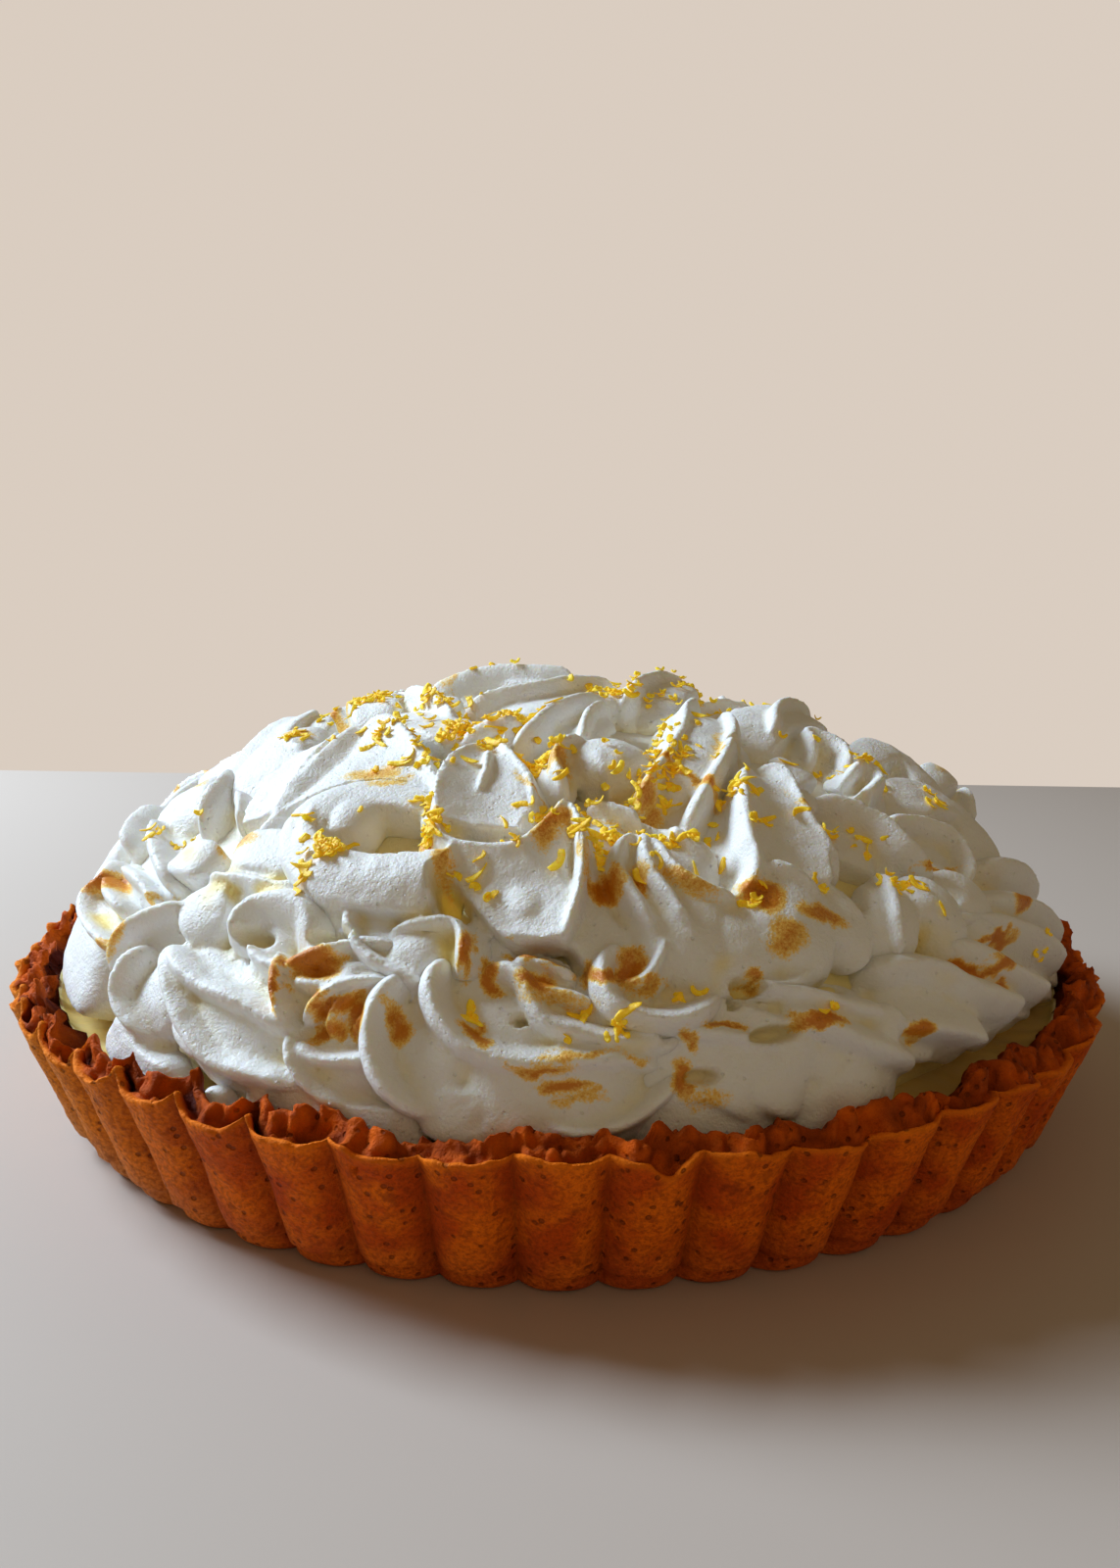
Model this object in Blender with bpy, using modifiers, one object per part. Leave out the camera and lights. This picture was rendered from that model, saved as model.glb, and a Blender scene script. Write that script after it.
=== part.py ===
"""Lemon meringue pie, 28 cm: a fluted sweet crust, a bed of lemon curd and a mound of piped meringue.

Metres, +Z up, origin at the middle of the crust's underside. Degrees round run from the front (-Y) to the
right (+X). Each sub-part is one closed solid, and a gap of FIT keeps neighbours apart.
"""

import math

import bmesh
import bpy
import numpy as np

# Crust
FLUTES = 53
FLUTE_TURN = math.radians(3.9)
FLUTE_DEPTH = 0.0042
FLUTE_POWER = 2.7
RIM_RADIUS = 0.138
BASE_RADIUS = 0.126
EDGE_HEIGHT = 0.032
FOOT_ROUND = 0.004
FLOOR = 0.006
STEPS_PER_FLUTE = 4
LIP_RISE = 0.004
LIP_WIDTH = 0.0085
LIP_RIDGE = 0.0052
LIP_STEP = 0.0032
LIP_RAGGED = 0.0016
LIP_WORN = 0.0006
LIP_WANDER = 0.0011
LIP_SEED = 11
EDGE_ROUND = 0.0010
SMALL_ROUND = 0.0006

# Lemon curd
CURD_TOP = 0.028
CURD_DIP = 0.0006
CURD_STEPS = 104

# Meringue mound
MOUND_RADIUS = 0.130
MOUND_RISE = 0.075
MOUND_FOOT = 0.022
MOUND_POWER = 2.1
CORE_DEPTH = 0.009
LIP_CLEAR_TOP = 0.0385
LIP_CLEAR = 0.0022
CURD_CLEAR = 0.0012
BULGE_RADIUS = 0.1365
BULGE_UNDER = 0.0010
ROOM_ABOVE = 0.020
VOXEL = 0.0021
MERINGUE_TRIANGLES = 4600

FIT = 0.0003
MM = 0.001


def wall_radius(z):
    """Radius of the outer wall, which leans outward from the base to the rim."""
    return BASE_RADIUS + (RIM_RADIUS - BASE_RADIUS) * z / EDGE_HEIGHT


def inner_radius(z):
    """Radius of the inner wall, one lip width inside the outer one."""
    return wall_radius(z) - LIP_WIDTH


def new_collection(name):
    collection = bpy.data.collections.new(name)
    bpy.context.scene.collection.children.link(collection)
    return collection


def material(name, colour, roughness):
    made = bpy.data.materials.new(name)
    made.use_nodes = True
    shader = made.node_tree.nodes["Principled BSDF"]
    shader.inputs["Base Color"].default_value = (*colour, 1.0)
    shader.inputs["Roughness"].default_value = roughness
    shader.inputs["Metallic"].default_value = 0.0
    return made


def turned(name, profile, steps, collection):
    """A solid turned about Z from a profile of (radius, height) points that runs down its outer side."""
    count = len(profile)
    mesh = bpy.data.meshes.new(name)
    points = [(r, 0.0, z) for r, z in profile]
    mesh.from_pydata(points, [(i, i + 1) for i in range(count - 1)], [])
    piece = bpy.data.objects.new(name, mesh)
    collection.objects.link(piece)
    screw = piece.modifiers.new("turn", "SCREW")
    screw.steps = steps
    screw.render_steps = steps
    screw.use_merge_vertices = True
    screw.merge_threshold = 0.00002
    return piece


def apply_modifiers(piece):
    """Replace the piece's mesh by its evaluated one and drop the modifiers."""
    graph = bpy.context.evaluated_depsgraph_get()
    mesh = bpy.data.meshes.new_from_object(piece.evaluated_get(graph))
    piece.modifiers.clear()
    piece.data = mesh


def read_points(mesh):
    flat = np.empty(len(mesh.vertices) * 3)
    mesh.vertices.foreach_get("co", flat)
    return flat.reshape(-1, 3)


def write_points(mesh, points):
    mesh.vertices.foreach_set("co", points.ravel())
    mesh.update()


def lumps(turn, waves, seed):
    """Uneven ripple in -1 to 1 round the rim: sines of the given numbers of waves with seeded phases."""
    rng = np.random.default_rng(seed)
    phases = rng.uniform(0, 2 * math.pi, len(waves))
    total = sum(np.sin(w * turn + p) for w, p in zip(waves, phases))
    return total / len(waves) ** 0.5 / 1.4


def crust_profile():
    """Half section of the crust: over the lip, down the outer wall, under the base and back inside."""
    floor_edge = inner_radius(FLOOR)
    rim = RIM_RADIUS
    return [
        (0.0, FLOOR),
        (floor_edge, FLOOR),
        (inner_radius(EDGE_HEIGHT + SMALL_ROUND), EDGE_HEIGHT + SMALL_ROUND),
        (rim - LIP_WIDTH + EDGE_ROUND, EDGE_HEIGHT + LIP_RISE - SMALL_ROUND),
        (rim - LIP_RIDGE, EDGE_HEIGHT + LIP_RISE),
        (rim - LIP_STEP, EDGE_HEIGHT + SMALL_ROUND),
        (rim - EDGE_ROUND, EDGE_HEIGHT),
        (rim, EDGE_HEIGHT - SMALL_ROUND),
        (wall_radius(FOOT_ROUND), FOOT_ROUND),
        (wall_radius(0) - EDGE_ROUND, FOOT_ROUND * 0.3),
        (wall_radius(0) - FOOT_ROUND * 0.9, 0.0),
        (0.0, 0.0),
    ]


def press_flutes(points):
    """Press the flutes into the outer wall and tear the lip: round lobes with narrow grooves."""
    x, y, z = points.T
    radius = np.hypot(x, y)
    turn = np.arctan2(x, -y) + FLUTE_TURN
    across = ((turn - FLUTE_TURN) * FLUTES / (2 * math.pi) + 0.5) % 1.0 * 2 - 1
    outer = wall_radius(z)
    inside = np.clip((outer - radius) / LIP_WIDTH, 0, 1)
    # the flutes fade from the outer face to the inner one
    fade = (1 - inside) ** 1.5 * (radius > BASE_RADIUS * 0.8)
    radius = radius - FLUTE_DEPTH * np.abs(across) ** FLUTE_POWER * fade
    # the torn lip stands unevenly high and thick
    lip = np.clip((z - EDGE_HEIGHT - SMALL_ROUND) / LIP_RISE, 0, 1)
    tall = lumps(turn, (17, 31, 43, 59, 73), LIP_SEED)
    thick = lumps(turn, (13, 29, 47, 61), LIP_SEED + 1)
    z = z + lip * (LIP_RAGGED * tall - LIP_WORN)
    radius = radius + lip * LIP_WANDER * thick
    return np.stack([radius * np.sin(turn), -radius * np.cos(turn), z], 1)


def make_crust(collection):
    crust = turned("crust", crust_profile(), FLUTES * STEPS_PER_FLUTE, collection)
    apply_modifiers(crust)
    write_points(crust.data, press_flutes(read_points(crust.data)))
    crust.data.materials.append(material("baked_crust", (0.48, 0.20, 0.06), 0.75))
    return crust


def make_curd(collection):
    """The curd fills the crust to CURD_TOP, a little lower in the middle than where it clings to the wall."""
    low = FLOOR + FIT
    profile = [
        (0.0, CURD_TOP - CURD_DIP),
        (inner_radius(CURD_TOP) - 0.006, CURD_TOP - CURD_DIP),
        (inner_radius(CURD_TOP) - FIT * 2, CURD_TOP),
        (inner_radius(low) - FIT * 2, low),
        (0.0, low),
    ]
    curd = turned("lemon_curd", profile, CURD_STEPS, collection)
    apply_modifiers(curd)
    curd.data.materials.append(material("lemon_curd", (0.86, 0.70, 0.24), 0.25))
    return curd


# Meringue: the strokes at the front, each piped over the mound by hand
STROKE_STEPS = 40
STROKE_SIDES = 40
ROUNDED = 0.1
PETAL_EDGE = 0.4
PETAL_BEVEL = 0.45
FRONT_STROKES = []


def rope(route, wide, **shape):
    """A stroke by its route and half width, as stroke_rings takes them."""
    FRONT_STROKES.append((route, wide, shape))


def crest(route, wide, **shape):
    """A stroke with one sharp crest outward and a hollow face on each side of it."""
    rope(route, wide, **{"ridges": 3, "depth": 0.52, **shape})


def lobe(route, wide, **shape):
    """A plump stroke with four faint ridges."""
    rope(route, wide, **{"ridges": 4, "depth": 0.24, "phase": 45, **shape})


def petal(rim, foot, belly, thick=8):
    """A face from a sharp rim to its foot, bulging by belly mm, or dished where belly is under 0."""
    rope(rim, thick, foot=foot, belly=belly)


# Lower tier, left
# The far swirl with its torched hollow
lobe([(-100, 11), (-86, 10.5), (-74, 9.5), (-62, 8.5), (-51, 8.5)], 12, tail=.8)
crest([(-66, 18.5, 0), (-62, 16.5, 1.5), (-63, 14.5, 2), (-60, 13, 2), (-54, 12.5, 1.5), (-49, 12, 0)], 5)
crest([(-61, 18.5, 0), (-53, 18.6, 1), (-47, 17.6, 0)], 5)
crest([(-41, 18.6, 0), (-44, 17.2, 1), (-47, 15, 1.5), (-48.5, 12.5, 1), (-47, 10, 0)], 6)
# The petal
crest([(-45, 13.8, 1), (-44.6, 11.2, 2), (-43.8, 9, 2), (-41.5, 7.4, 1.5), (-38.5, 6.2, 0)], 7.5)
lobe([(-44, 13, -1), (-41, 10.5, 0), (-39.5, 8, 0), (-38.5, 5.8, -1)], 9)
# The big blade
crest([(-40.4, 14.8, 1), (-37.5, 12.4, 2.5), (-34.5, 10, 3), (-31.5, 8, 3), (-28.5, 6.8, 2.5),
      (-24, 6.6, 2), (-19.5, 6, 0)], 8, thick=7)
crest([(-40.4, 14.8, 1), (-36, 13.1, 3), (-32.3, 12.2, 3), (-28, 11.8, 3), (-24.5, 11, 2),
      (-21, 10.2, 1)], 8, thick=7)
lobe([(-37, 12, 0), (-32, 10, 1), (-27, 9, 1), (-21, 7.6, 0)], 10.5, thick=8, depth=.3)
crest([(-25.5, 15.8, 1), (-24.4, 13.4, 3.5), (-22.6, 10.6, 2)], 4.5, thick=6)
# The skirt under the blade, and the drop that hangs on the rim
lobe([(-46, 6.5, -1), (-42.5, 4.8, .5), (-38.5, 3.6, 1), (-34.5, 3, 0)], 5.5)
lobe([(-27, 4.8, 0), (-22, 3.8, .5), (-16, 3.4, .5), (-10, 3.6, 0)], 6.5)
# Folds and the curl over the blade
lobe([(-42.5, 21.5, 0), (-39.5, 19, 1), (-36, 16, .5)], 8)
lobe([(-52, 22.4, 0), (-47, 22.8, 1.5), (-42.5, 23, 1)], 6.5)
lobe([(-41, 23.5, 1), (-37, 25.2, 2.5), (-32, 25.5, 2), (-28, 24, 0)], 7.5)
crest([(-42, 21.5, 0), (-36, 22, 1), (-30, 22, 1), (-27.5, 23.2, 0)], 5)
rope([(-30, 16.8, 0), (-32.4, 18, 1.5), (-31, 19.9, 2.5), (-28, 20.5, 3), (-25, 20, 2.5),
      (-23.4, 18.2, 1.5), (-22.2, 16.4, 0)], 5.6, ridges=3, depth=.3)
lobe([(-31, 18, -.5), (-25, 17.6, -.5)], 6)
crest([(-30, 16.8, 0), (-28.5, 15.6, 1), (-26, 15, 1.5), (-24.2, 15.7, 1)], 4)
crest([(-25, 14.9, 1), (-22.5, 16, 2.5), (-20, 17.3, 2.5), (-17, 18, 1.5), (-13.5, 18, 0)], 6)
crest([(-24.6, 14.4, 0), (-21, 14.2, 1), (-18.5, 15.3, 1), (-16.5, 17, .5)], 5)
crest([(-22, 15.4, 0), (-19, 16, .5), (-16, 16.2, .5), (-12, 16.4, 0)], 5)
# The lobe with the torched ring
crest([(-21.2, 11, 0), (-20.2, 12.9, 2), (-18.2, 14.4, 2.5), (-16, 14.9, 2), (-13.8, 15.2, 1)], 5)
crest([(-18.8, 10.4, 0), (-18.4, 12.6, 1.5), (-17, 14.2, 1.5)], 3.6)
crest([(-15.4, 14, .5), (-15.7, 12.5, 1), (-17, 11, .5)], 3.6)
lobe([(-19, 13, -1), (-18, 10, .5), (-16.5, 7.4, .5), (-13.5, 5, 0)], 10)
crest([(-22, 9.8, 1), (-19.5, 8.6, 1.5), (-16.5, 8.9, 1.5), (-13.8, 9.4, 1)], 5)
crest([(-22.8, 10.6, 1.5), (-21.2, 8, 2), (-19, 6.1, 1.5), (-16, 5, 0)], 6)

# The drop that hangs on the rim
lobe([(-29.4, 4.4, -1), (-29, 2.2, 1), (-28.7, .4, 1.6), (-28.6, -.6, 1.4)], 3.4, head=.6, depth=.1)

# Lower tier, middle
crest([(-12.4, 16.4, 1.5), (-14.3, 14.5, 3), (-15, 12.5, 3.5), (-14.7, 10.3, 3.5), (-13.6, 8.2, 3.5),
      (-11.6, 6.4, 3), (-8.6, 5.2, 1.5)], 9, thick=8)
lobe([(-12, 14.5, 0), (-12.3, 11.5, 0), (-11, 9, 1), (-8.5, 7.2, 1.5), (-5, 6.4, 1)], 9)
crest([(-10, 17.2, 2), (-10.5, 15.3, 3.5), (-9.9, 13.5, 4), (-8.6, 12, 4), (-6.8, 10.6, 3.5),
      (-4, 9.9, 3), (-1, 9.7, 3), (2.5, 10, 3), (6, 10, 2.5), (9, 9, 1)], 9, thick=8, tail=1.6)
lobe([(-9, 7.5, 1), (-4, 7, 2), (1, 7, 2.5), (5, 7.4, 2), (9.2, 8.6, 0)], 9, thick=8, tail=2, tip=.6)
crest([(-1.6, 5.6, 1.5), (2, 4.9, 2.5), (5.5, 5.6, 2.5), (8, 7.1, 1.5), (9.5, 8.6, 0)], 6)
lobe([(-11, 6, 1), (-7, 5.5, 1.5), (-3, 5.5, 1)], 6.5)
crest([(-6.8, 16.9, 1), (-4.2, 16.7, 2), (-2.8, 15.8, 2.5), (-2.1, 14.4, 2.5), (-1.1, 13, 2.5),
      (.5, 12.3, 2.5), (3.5, 11.6, 2), (6.5, 11.2, 1.5), (9.8, 11, 1)], 7)
crest([(10.1, 11.4, 1.5), (8.2, 10.8, 1), (7.6, 11.9, 1), (5, 12.2, 0)], 3.5)
lobe([(-7, 15.5, 0), (-5.5, 13, 0), (-3.5, 11.2, .5), (1.5, 10.6, 0)], 8, thick=6)
lobe([(-11, 15.6, -1.5), (-7, 16, -1), (-2.5, 15.6, -1.5)], 6.5)
lobe([(-15, 18.5, -1.5), (-9, 18.4, -2), (-3, 18.6, -1.5)], 6.5)
crest([(-3.9, 18, 0), (-1, 17.3, .8), (1.8, 16.3, 0)], 3.6)
crest([(-3.6, 15.9, 1), (0, 15, 1), (3.5, 14.2, 0)], 5)

# Lower tier, right
lobe([(6, 9, -1), (9, 9.4, .5), (12.5, 9.3, 1.5), (15.6, 7.8, 2), (18.6, 5.2, .5)], 9, thick=8)
lobe([(5.5, 5.2, 0), (10, 5.2, .5), (14, 4.8, .5), (18.5, 4.4, 0)], 8)
crest([(7.2, 13.1, 1), (10, 12.1, 1.5), (14, 11.4, 2), (17, 10.8, 2), (20.5, 10.2, 1.5)], 9)
lobe([(9, 12, 0), (14, 10.6, 1.5), (18.5, 8.6, 2), (22.3, 5.6, 1.5)], 11, thick=9)
lobe([(19.4, 4.6, 0), (22.6, 4.8, 1), (25.4, 6.4, 1.5), (27.8, 8.2, 0)], 6.5)
crest([(15.6, 15.1, 1), (18.5, 14.8, 2), (22, 13.8, 2.5), (26, 12.4, 2), (31, 11.2, 1)], 7)
crest([(19.2, 13.2, 2), (22, 11.8, 2.5), (25, 10.2, 2.5), (28.5, 8.6, 2), (33, 6.4, 1)], 8.5, depth=.4)
lobe([(18, 12.4, 0), (22, 10.4, 1), (27, 7.6, 1), (31.4, 5, 0)], 9)
lobe([(28.6, 11, 1.5), (29.6, 10.2, 3), (30.5, 9.2, 2.5)], 5.5)
rope([(29.6, 11.4, 1), (34, 10.4, 2.5), (38, 9.2, 2.5),
      (42, 7.6, 1.5)], 7.5, ridges=4, depth=.32, phase=70, tail=.6)
lobe([(27, 9.4, -2), (32, 9.2, -2), (37, 8, -2)], 6, tail=.8)
rope([(29.6, 15.2, 1), (33.5, 14.6, 2.5), (37, 13.4, 3), (40.4, 11.4, 3), (44.6, 9.4, 3),
      (49.4, 7.4, 2)], 9, ridges=3, depth=.42, phase=90, twist=10, tail=.6)
lobe([(36, 11, -2), (42, 9.4, -2), (46.4, 7.8, -2)], 6.5, tail=.8)
crest([(31.5, 15, 2), (36, 14.2, 3.5), (39.6, 12.2, 3.5), (43, 9.4, 2)], 5)
rope([(38.6, 16.6, 0), (43, 14.6, 2.5), (47, 12.2, 3), (51, 9.8, 3),
      (56.4, 7.2, 2)], 9, ridges=3, depth=.42, phase=85, twist=10, tail=.6)
lobe([(48, 9.6, -2), (53, 8, -2), (57, 6.8, -2)], 6)
rope([(44, 17.8, 0), (50, 15.8, 2.5), (57, 13, 3), (63, 9.8, 3),
      (69, 6.6, 2)], 9, ridges=3, depth=.42, phase=90, twist=10, tail=.6)
lobe([(56, 10, -2), (63, 7.4, -1.5), (69, 5, -1)], 7, tail=.8)
rope([(51, 18.6, 0), (60, 16, 2.5), (68, 12.4, 3), (74, 8.6, 3),
      (80, 5, 1.5)], 9.5, ridges=3, depth=.42, phase=85, twist=10, tail=.7)
lobe([(68, 7.5, 0), (78, 4.6, 1), (86, 4, 0)], 8.5)
rope([(63, 20.5, 0), (73, 16.5, 2.5), (82, 11.5, 3),
      (91, 6, 1.5)], 10, ridges=3, depth=.42, phase=90, twist=10, tail=.8)

# Second tier
# The shell with three crests and a curl below
crest([(9.7, 30.2, 2), (7, 28.2, 3.5), (5.9, 25.8, 4), (6.6, 23.6, 4.5), (7.8, 21.3, 4.5),
      (9, 18.6, 4)], 6.5)
crest([(10, 30.4, 2.5), (9.2, 27, 4), (9.4, 24.4, 5), (10.7, 21.8, 5), (12.2, 19.2, 4.5)], 5.5)
crest([(10.3, 30.2, 2.5), (11.2, 26.6, 4), (12.6, 24.2, 4.5), (15, 22.8, 4), (18.4, 22, 2.5)], 7)
lobe([(10, 29, 0), (10.5, 25, 2), (11.6, 21, 3.8), (12.2, 17.4, 4),
      (11, 14.4, 2.5)], 13.5, thick=13, depth=.1)
lobe([(3, 25.6, 0), (2.2, 23.2, 1), (2.8, 20.6, 1.5), (5, 18.2, 1.5), (7.2, 16.4, 1)], 6.5)
crest([(6.6, 18.4, 1), (4.4, 17.6, 2.5), (3.8, 15.9, 4), (4.8, 13.9, 4.5), (7.5, 12.8, 4.5),
      (11, 12.9, 4.5), (14, 14.4, 2.5)], 7.5)
crest([(5.5, 15.4, 2), (7.3, 15.7, 4), (8.7, 17.2, 4), (9.6, 19, 3)], 4)
# The peak of two limbs with a broad foot
crest([(32, 39.4, 3), (27.4, 36.4, 5), (23.8, 32, 5.5), (21.8, 28, 5), (21, 25, 4.5), (19.4, 23.2, 3.5),
      (17.6, 22.2, 2)], 8.5)
crest([(32, 39.4, 3), (35.4, 37.2, 4.5), (33.6, 33.4, 4.5), (31.8, 30, 4.5), (31.4, 26.6, 4),
      (31.2, 23.4, 2.5)], 8.5)
petal([(31.6, 39, 2.5), (27.6, 36.2, 4.6), (24, 32, 5), (22, 28, 4.6),
      (20.6, 24, 3.6)], [(34.4, 37.4, 3.6), (33.4, 33.4, 4), (31.8, 30, 4), (31, 26.6, 3.4),
      (29, 22.6, 3)], -1.8, 10)
lobe([(26.4, 27, 1), (25, 23.6, 3.6), (22.4, 20, 4.6), (20.4, 17.4, 4),
      (19.4, 15.8, 2.5)], 13, thick=12, depth=.08)
crest([(20.8, 25.2, 3.5), (23.4, 24.4, 4.5), (25.6, 22.6, 4), (27, 19.8, 3)], 7)
lobe([(17.8, 22.4, 3), (17.8, 19.8, 4), (17.4, 17, 3.5), (17, 15.4, 1.5)], 7.5)
lobe([(25.6, 23.6, 2), (27.6, 20.8, 3.5), (28.4, 18.2, 3), (27, 16.6, 1)], 8)
crest([(14.8, 15.4, 1), (18.5, 14.8, 2), (21.6, 15, 2), (24.4, 17, 1)], 6)
# Blunt fingers to its right
lobe([(36.6, 22.6, 2), (35.6, 20, 3.5), (33.7, 17.6, 3), (32.4, 15.2, 1.5)], 8, depth=.16)
crest([(36.6, 23, 2.5), (35.2, 20.6, 4), (33.7, 18, 4), (33, 15.6, 2)], 5)
lobe([(39.6, 22, 2), (41.2, 19.6, 4), (40.8, 17.2, 4), (38.4, 15.6, 2)], 8.5, depth=.14)
lobe([(45, 20.8, 1), (48.4, 19.2, 3), (48.2, 17, 3), (45, 15.6, 1)], 8, depth=.14)
lobe([(31, 23, 0), (30.5, 19.5, .5), (30, 16.8, 0)], 7)
# The leaf in the middle: its dish, rim, peak, right edge and front face
petal([(-14, 46.2, 2.5), (-17.2, 41.4, 4.5), (-17, 36.6, 5.5), (-15.6, 32.4, 6),
      (-14.2, 29.4, 6)], [(-11.6, 48.4, 2.5), (-8.6, 42.6, 2.5), (-6, 38, 2), (-4.5, 34, 1.5),
      (-4.5, 30.5, 2)], -1.8, 7)
crest([(-13.8, 46, 2), (-17, 41.4, 4), (-16.8, 36.6, 5), (-15.4, 32.4, 5.5), (-14, 29.2, 5.5),
      (-12.2, 27.2, 5.5), (-8.4, 26.6, 5.5), (-4.6, 26.8, 6), (-2.2, 28.2, 7), (-.4, 30, 7.5),
      (.8, 31.6, 8)], 5, tail=.5)
petal([(-14.6, 29.4, 5.5), (-12.2, 27.2, 5.8), (-8.4, 26.6, 5.8), (-4.6, 26.8, 6.3), (-2.2, 28.2, 7.2),
      (.6, 31.6, 8)], [(-11, 24.4, 1.5), (-9, 22.8, 1.2), (-7, 21, 1), (-5, 19.4, 1), (-2.4, 18.9, 2.2),
      (.6, 18.8, 4)], -1.2, 9)
crest([(.7, 31.7, 8), (2.1, 28.6, 8), (2.3, 25.4, 7.4), (1.8, 22.2, 6.6), (.5, 18.6, 4.8)], 4.2, thick=6)
lobe([(-4.4, 26, 2), (-3.2, 23, 3.2), (-2, 20, 3.4)], 4.5, depth=.1)
lobe([(-12.6, 22.6, -3), (-12, 20.6, -2.5), (-10.6, 18.6, -2)], 4, depth=.1)
lobe([(-8, 34, -3), (-6, 30, -1), (-5, 26, 0)], 9, depth=.1)
crest([(-13, 44, 2.6), (-11.4, 39.5, 3.4), (-11.2, 35, 2.8)], 3)
crest([(-13, 47, 2.5), (-8.6, 43, 3.2), (-4.8, 38.4, 2.8), (-3.6, 34, 1.5), (-4, 30, 0)], 4.5)
lobe([(-2, 37, 0), (0, 33, 0), (2.4, 29, 0)], 8, depth=.1)
# The scroll: a rolled lip round a hollow
rope([(-15, 34.4, 1), (-20, 34.8, 2.5), (-26, 34.2, 3.5), (-30.4, 32, 4), (-31.4, 28.8, 4.5),
      (-29.6, 26, 4.5), (-26, 23.8, 4.5), (-21.6, 22.8, 5), (-17, 22.6, 5),
      (-13.2, 23.4, 5)], 6.2, ridges=4, depth=.16, phase=45, tail=.4)
petal([(-31.6, 30.4, 3.5), (-29, 27.6, 4.6), (-25, 25.6, 5), (-20.5, 25, 5), (-16, 25.2, 5.2),
      (-12.2, 25.8, 5.6)], [(-30, 25, 2), (-27, 22.6, 2.6), (-23.4, 21, 3), (-19, 20.4, 3.2),
      (-15.6, 20.4, 3.4), (-12.6, 20.4, 3)], 2.0, 9)
lobe([(-31, 30, 2), (-27, 30.6, 4), (-23.4, 30.6, 4.4)], 7.5, depth=.1)
crest([(-10.8, 27, 4.5), (-11.8, 25, 5.8), (-12.2, 22.8, 5.4), (-12.8, 20.2, 3)], 4)
crest([(-29.4, 24.8, 1), (-26, 22, 2), (-22, 20.8, 2.5), (-17, 21.1, 2), (-13.4, 21.8, 1)], 4)
lobe([(-21, 21, 0), (-18.5, 18.6, 1), (-15.5, 16.8, 1), (-11.5, 15.6, .5)], 7.5)
crest([(-20.6, 21.2, 1), (-19.4, 18.8, 2.5), (-17, 16.9, 2.5), (-13.8, 15.8, 2), (-11.2, 15.2, 1)], 5)
crest([(-16, 18.9, 1.5), (-12.5, 19.8, 3), (-9.6, 20, 3.5), (-8.3, 18.4, 4), (-8.3, 15.9, 3)], 5)
lobe([(-16, 17.6, 0), (-13, 17.8, 1.5), (-10, 17.4, 1.5)], 4.5, depth=.1)

# Third tier
# The broad arch over the scroll
lobe([(-37.6, 26.4, .5), (-37, 29.4, 2), (-39.4, 35.6, 3.4), (-41.4, 41, 4.4),
      (-42.4, 46, 4.8)], 6.5, tail=.6, depth=.3, phase=20)
petal([(-43.8, 47.4, 4.5), (-38.6, 47.8, 5.5), (-33.6, 46.4, 5.5), (-27.6, 43.6, 5), (-22, 40.2, 4.2),
      (-17, 36, 3)], [(-37, 30, 1.5), (-33.6, 33.4, 2), (-30, 35.4, 2), (-26, 36.2, 2), (-22, 36, 1.8),
      (-18, 34.6, 1.5)], -1.2, 9)
crest([(-43.4, 46.8, 4), (-38.6, 47.6, 5.2), (-33.6, 46.2, 5.2), (-27.6, 43.4, 4.6), (-22, 40, 3.8),
      (-17, 35.6, 2)], 4)
petal([(-46.5, 43.5, 3.5), (-43.4, 38, 3.5), (-40.4, 33.4, 3), (-38.4, 29.6, 2)], [(-54, 40, 0),
      (-51, 35.5, 0), (-47, 31, 0), (-43.6, 27.6, 0)], -.6, 8)
# The peak behind it on the left
lobe([(-52, 31.6, 0), (-57, 36, 2), (-62, 41, 4.5), (-58, 45.4, 5)], 12, thick=11, depth=.2)
lobe([(-58, 33, 1), (-66, 37, 3), (-76, 41.4, 5), (-84, 44.6, 5.5)], 8.5, tail=.5, depth=.32)
lobe([(-88, 42, 1), (-78, 44.5, 3), (-68, 44, 2)], 9)
# The bean-shaped shell and the petals behind
crest([(5, 46.6, 2.5), (1.6, 45.2, 4.5), (-.6, 42.6, 5), (-.6, 39.6, 4.5), (1, 36.8, 3)], 5.5)
lobe([(2, 41.6, 3), (6, 43.4, 4.5), (11, 43, 4.5), (15.4, 40, 2.5)], 9, thick=8.5, depth=.12)
crest([(4, 47.3, 2.5), (6, 53, 4.5), (10, 58, 4.5), (15.5, 62.3, 3)], 5)
crest([(-10, 45.6, 1), (-6.5, 51, 3.5), (-2, 57.5, 4.5), (8, 63, 4.5), (20, 65.5, 2)], 9)
lobe([(-4, 49, 0), (2, 55, 1), (10, 60, 1)], 10, depth=.15)
# The blade with the torched edge
crest([(49, 54, 3), (42, 49.6, 5), (31, 42.6, 5.5), (22, 36.4, 4.5), (16.4, 31.8, 3)], 8)
crest([(52, 60, 4), (37, 55.6, 5), (25, 47.4, 4.5), (15.6, 40, 3.5), (11, 35.6, 1.5)], 8)
lobe([(47, 56.6, 2), (35, 50.6, 4), (25, 43, 4), (17, 36, 2)], 11, thick=9, depth=.1)
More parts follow.
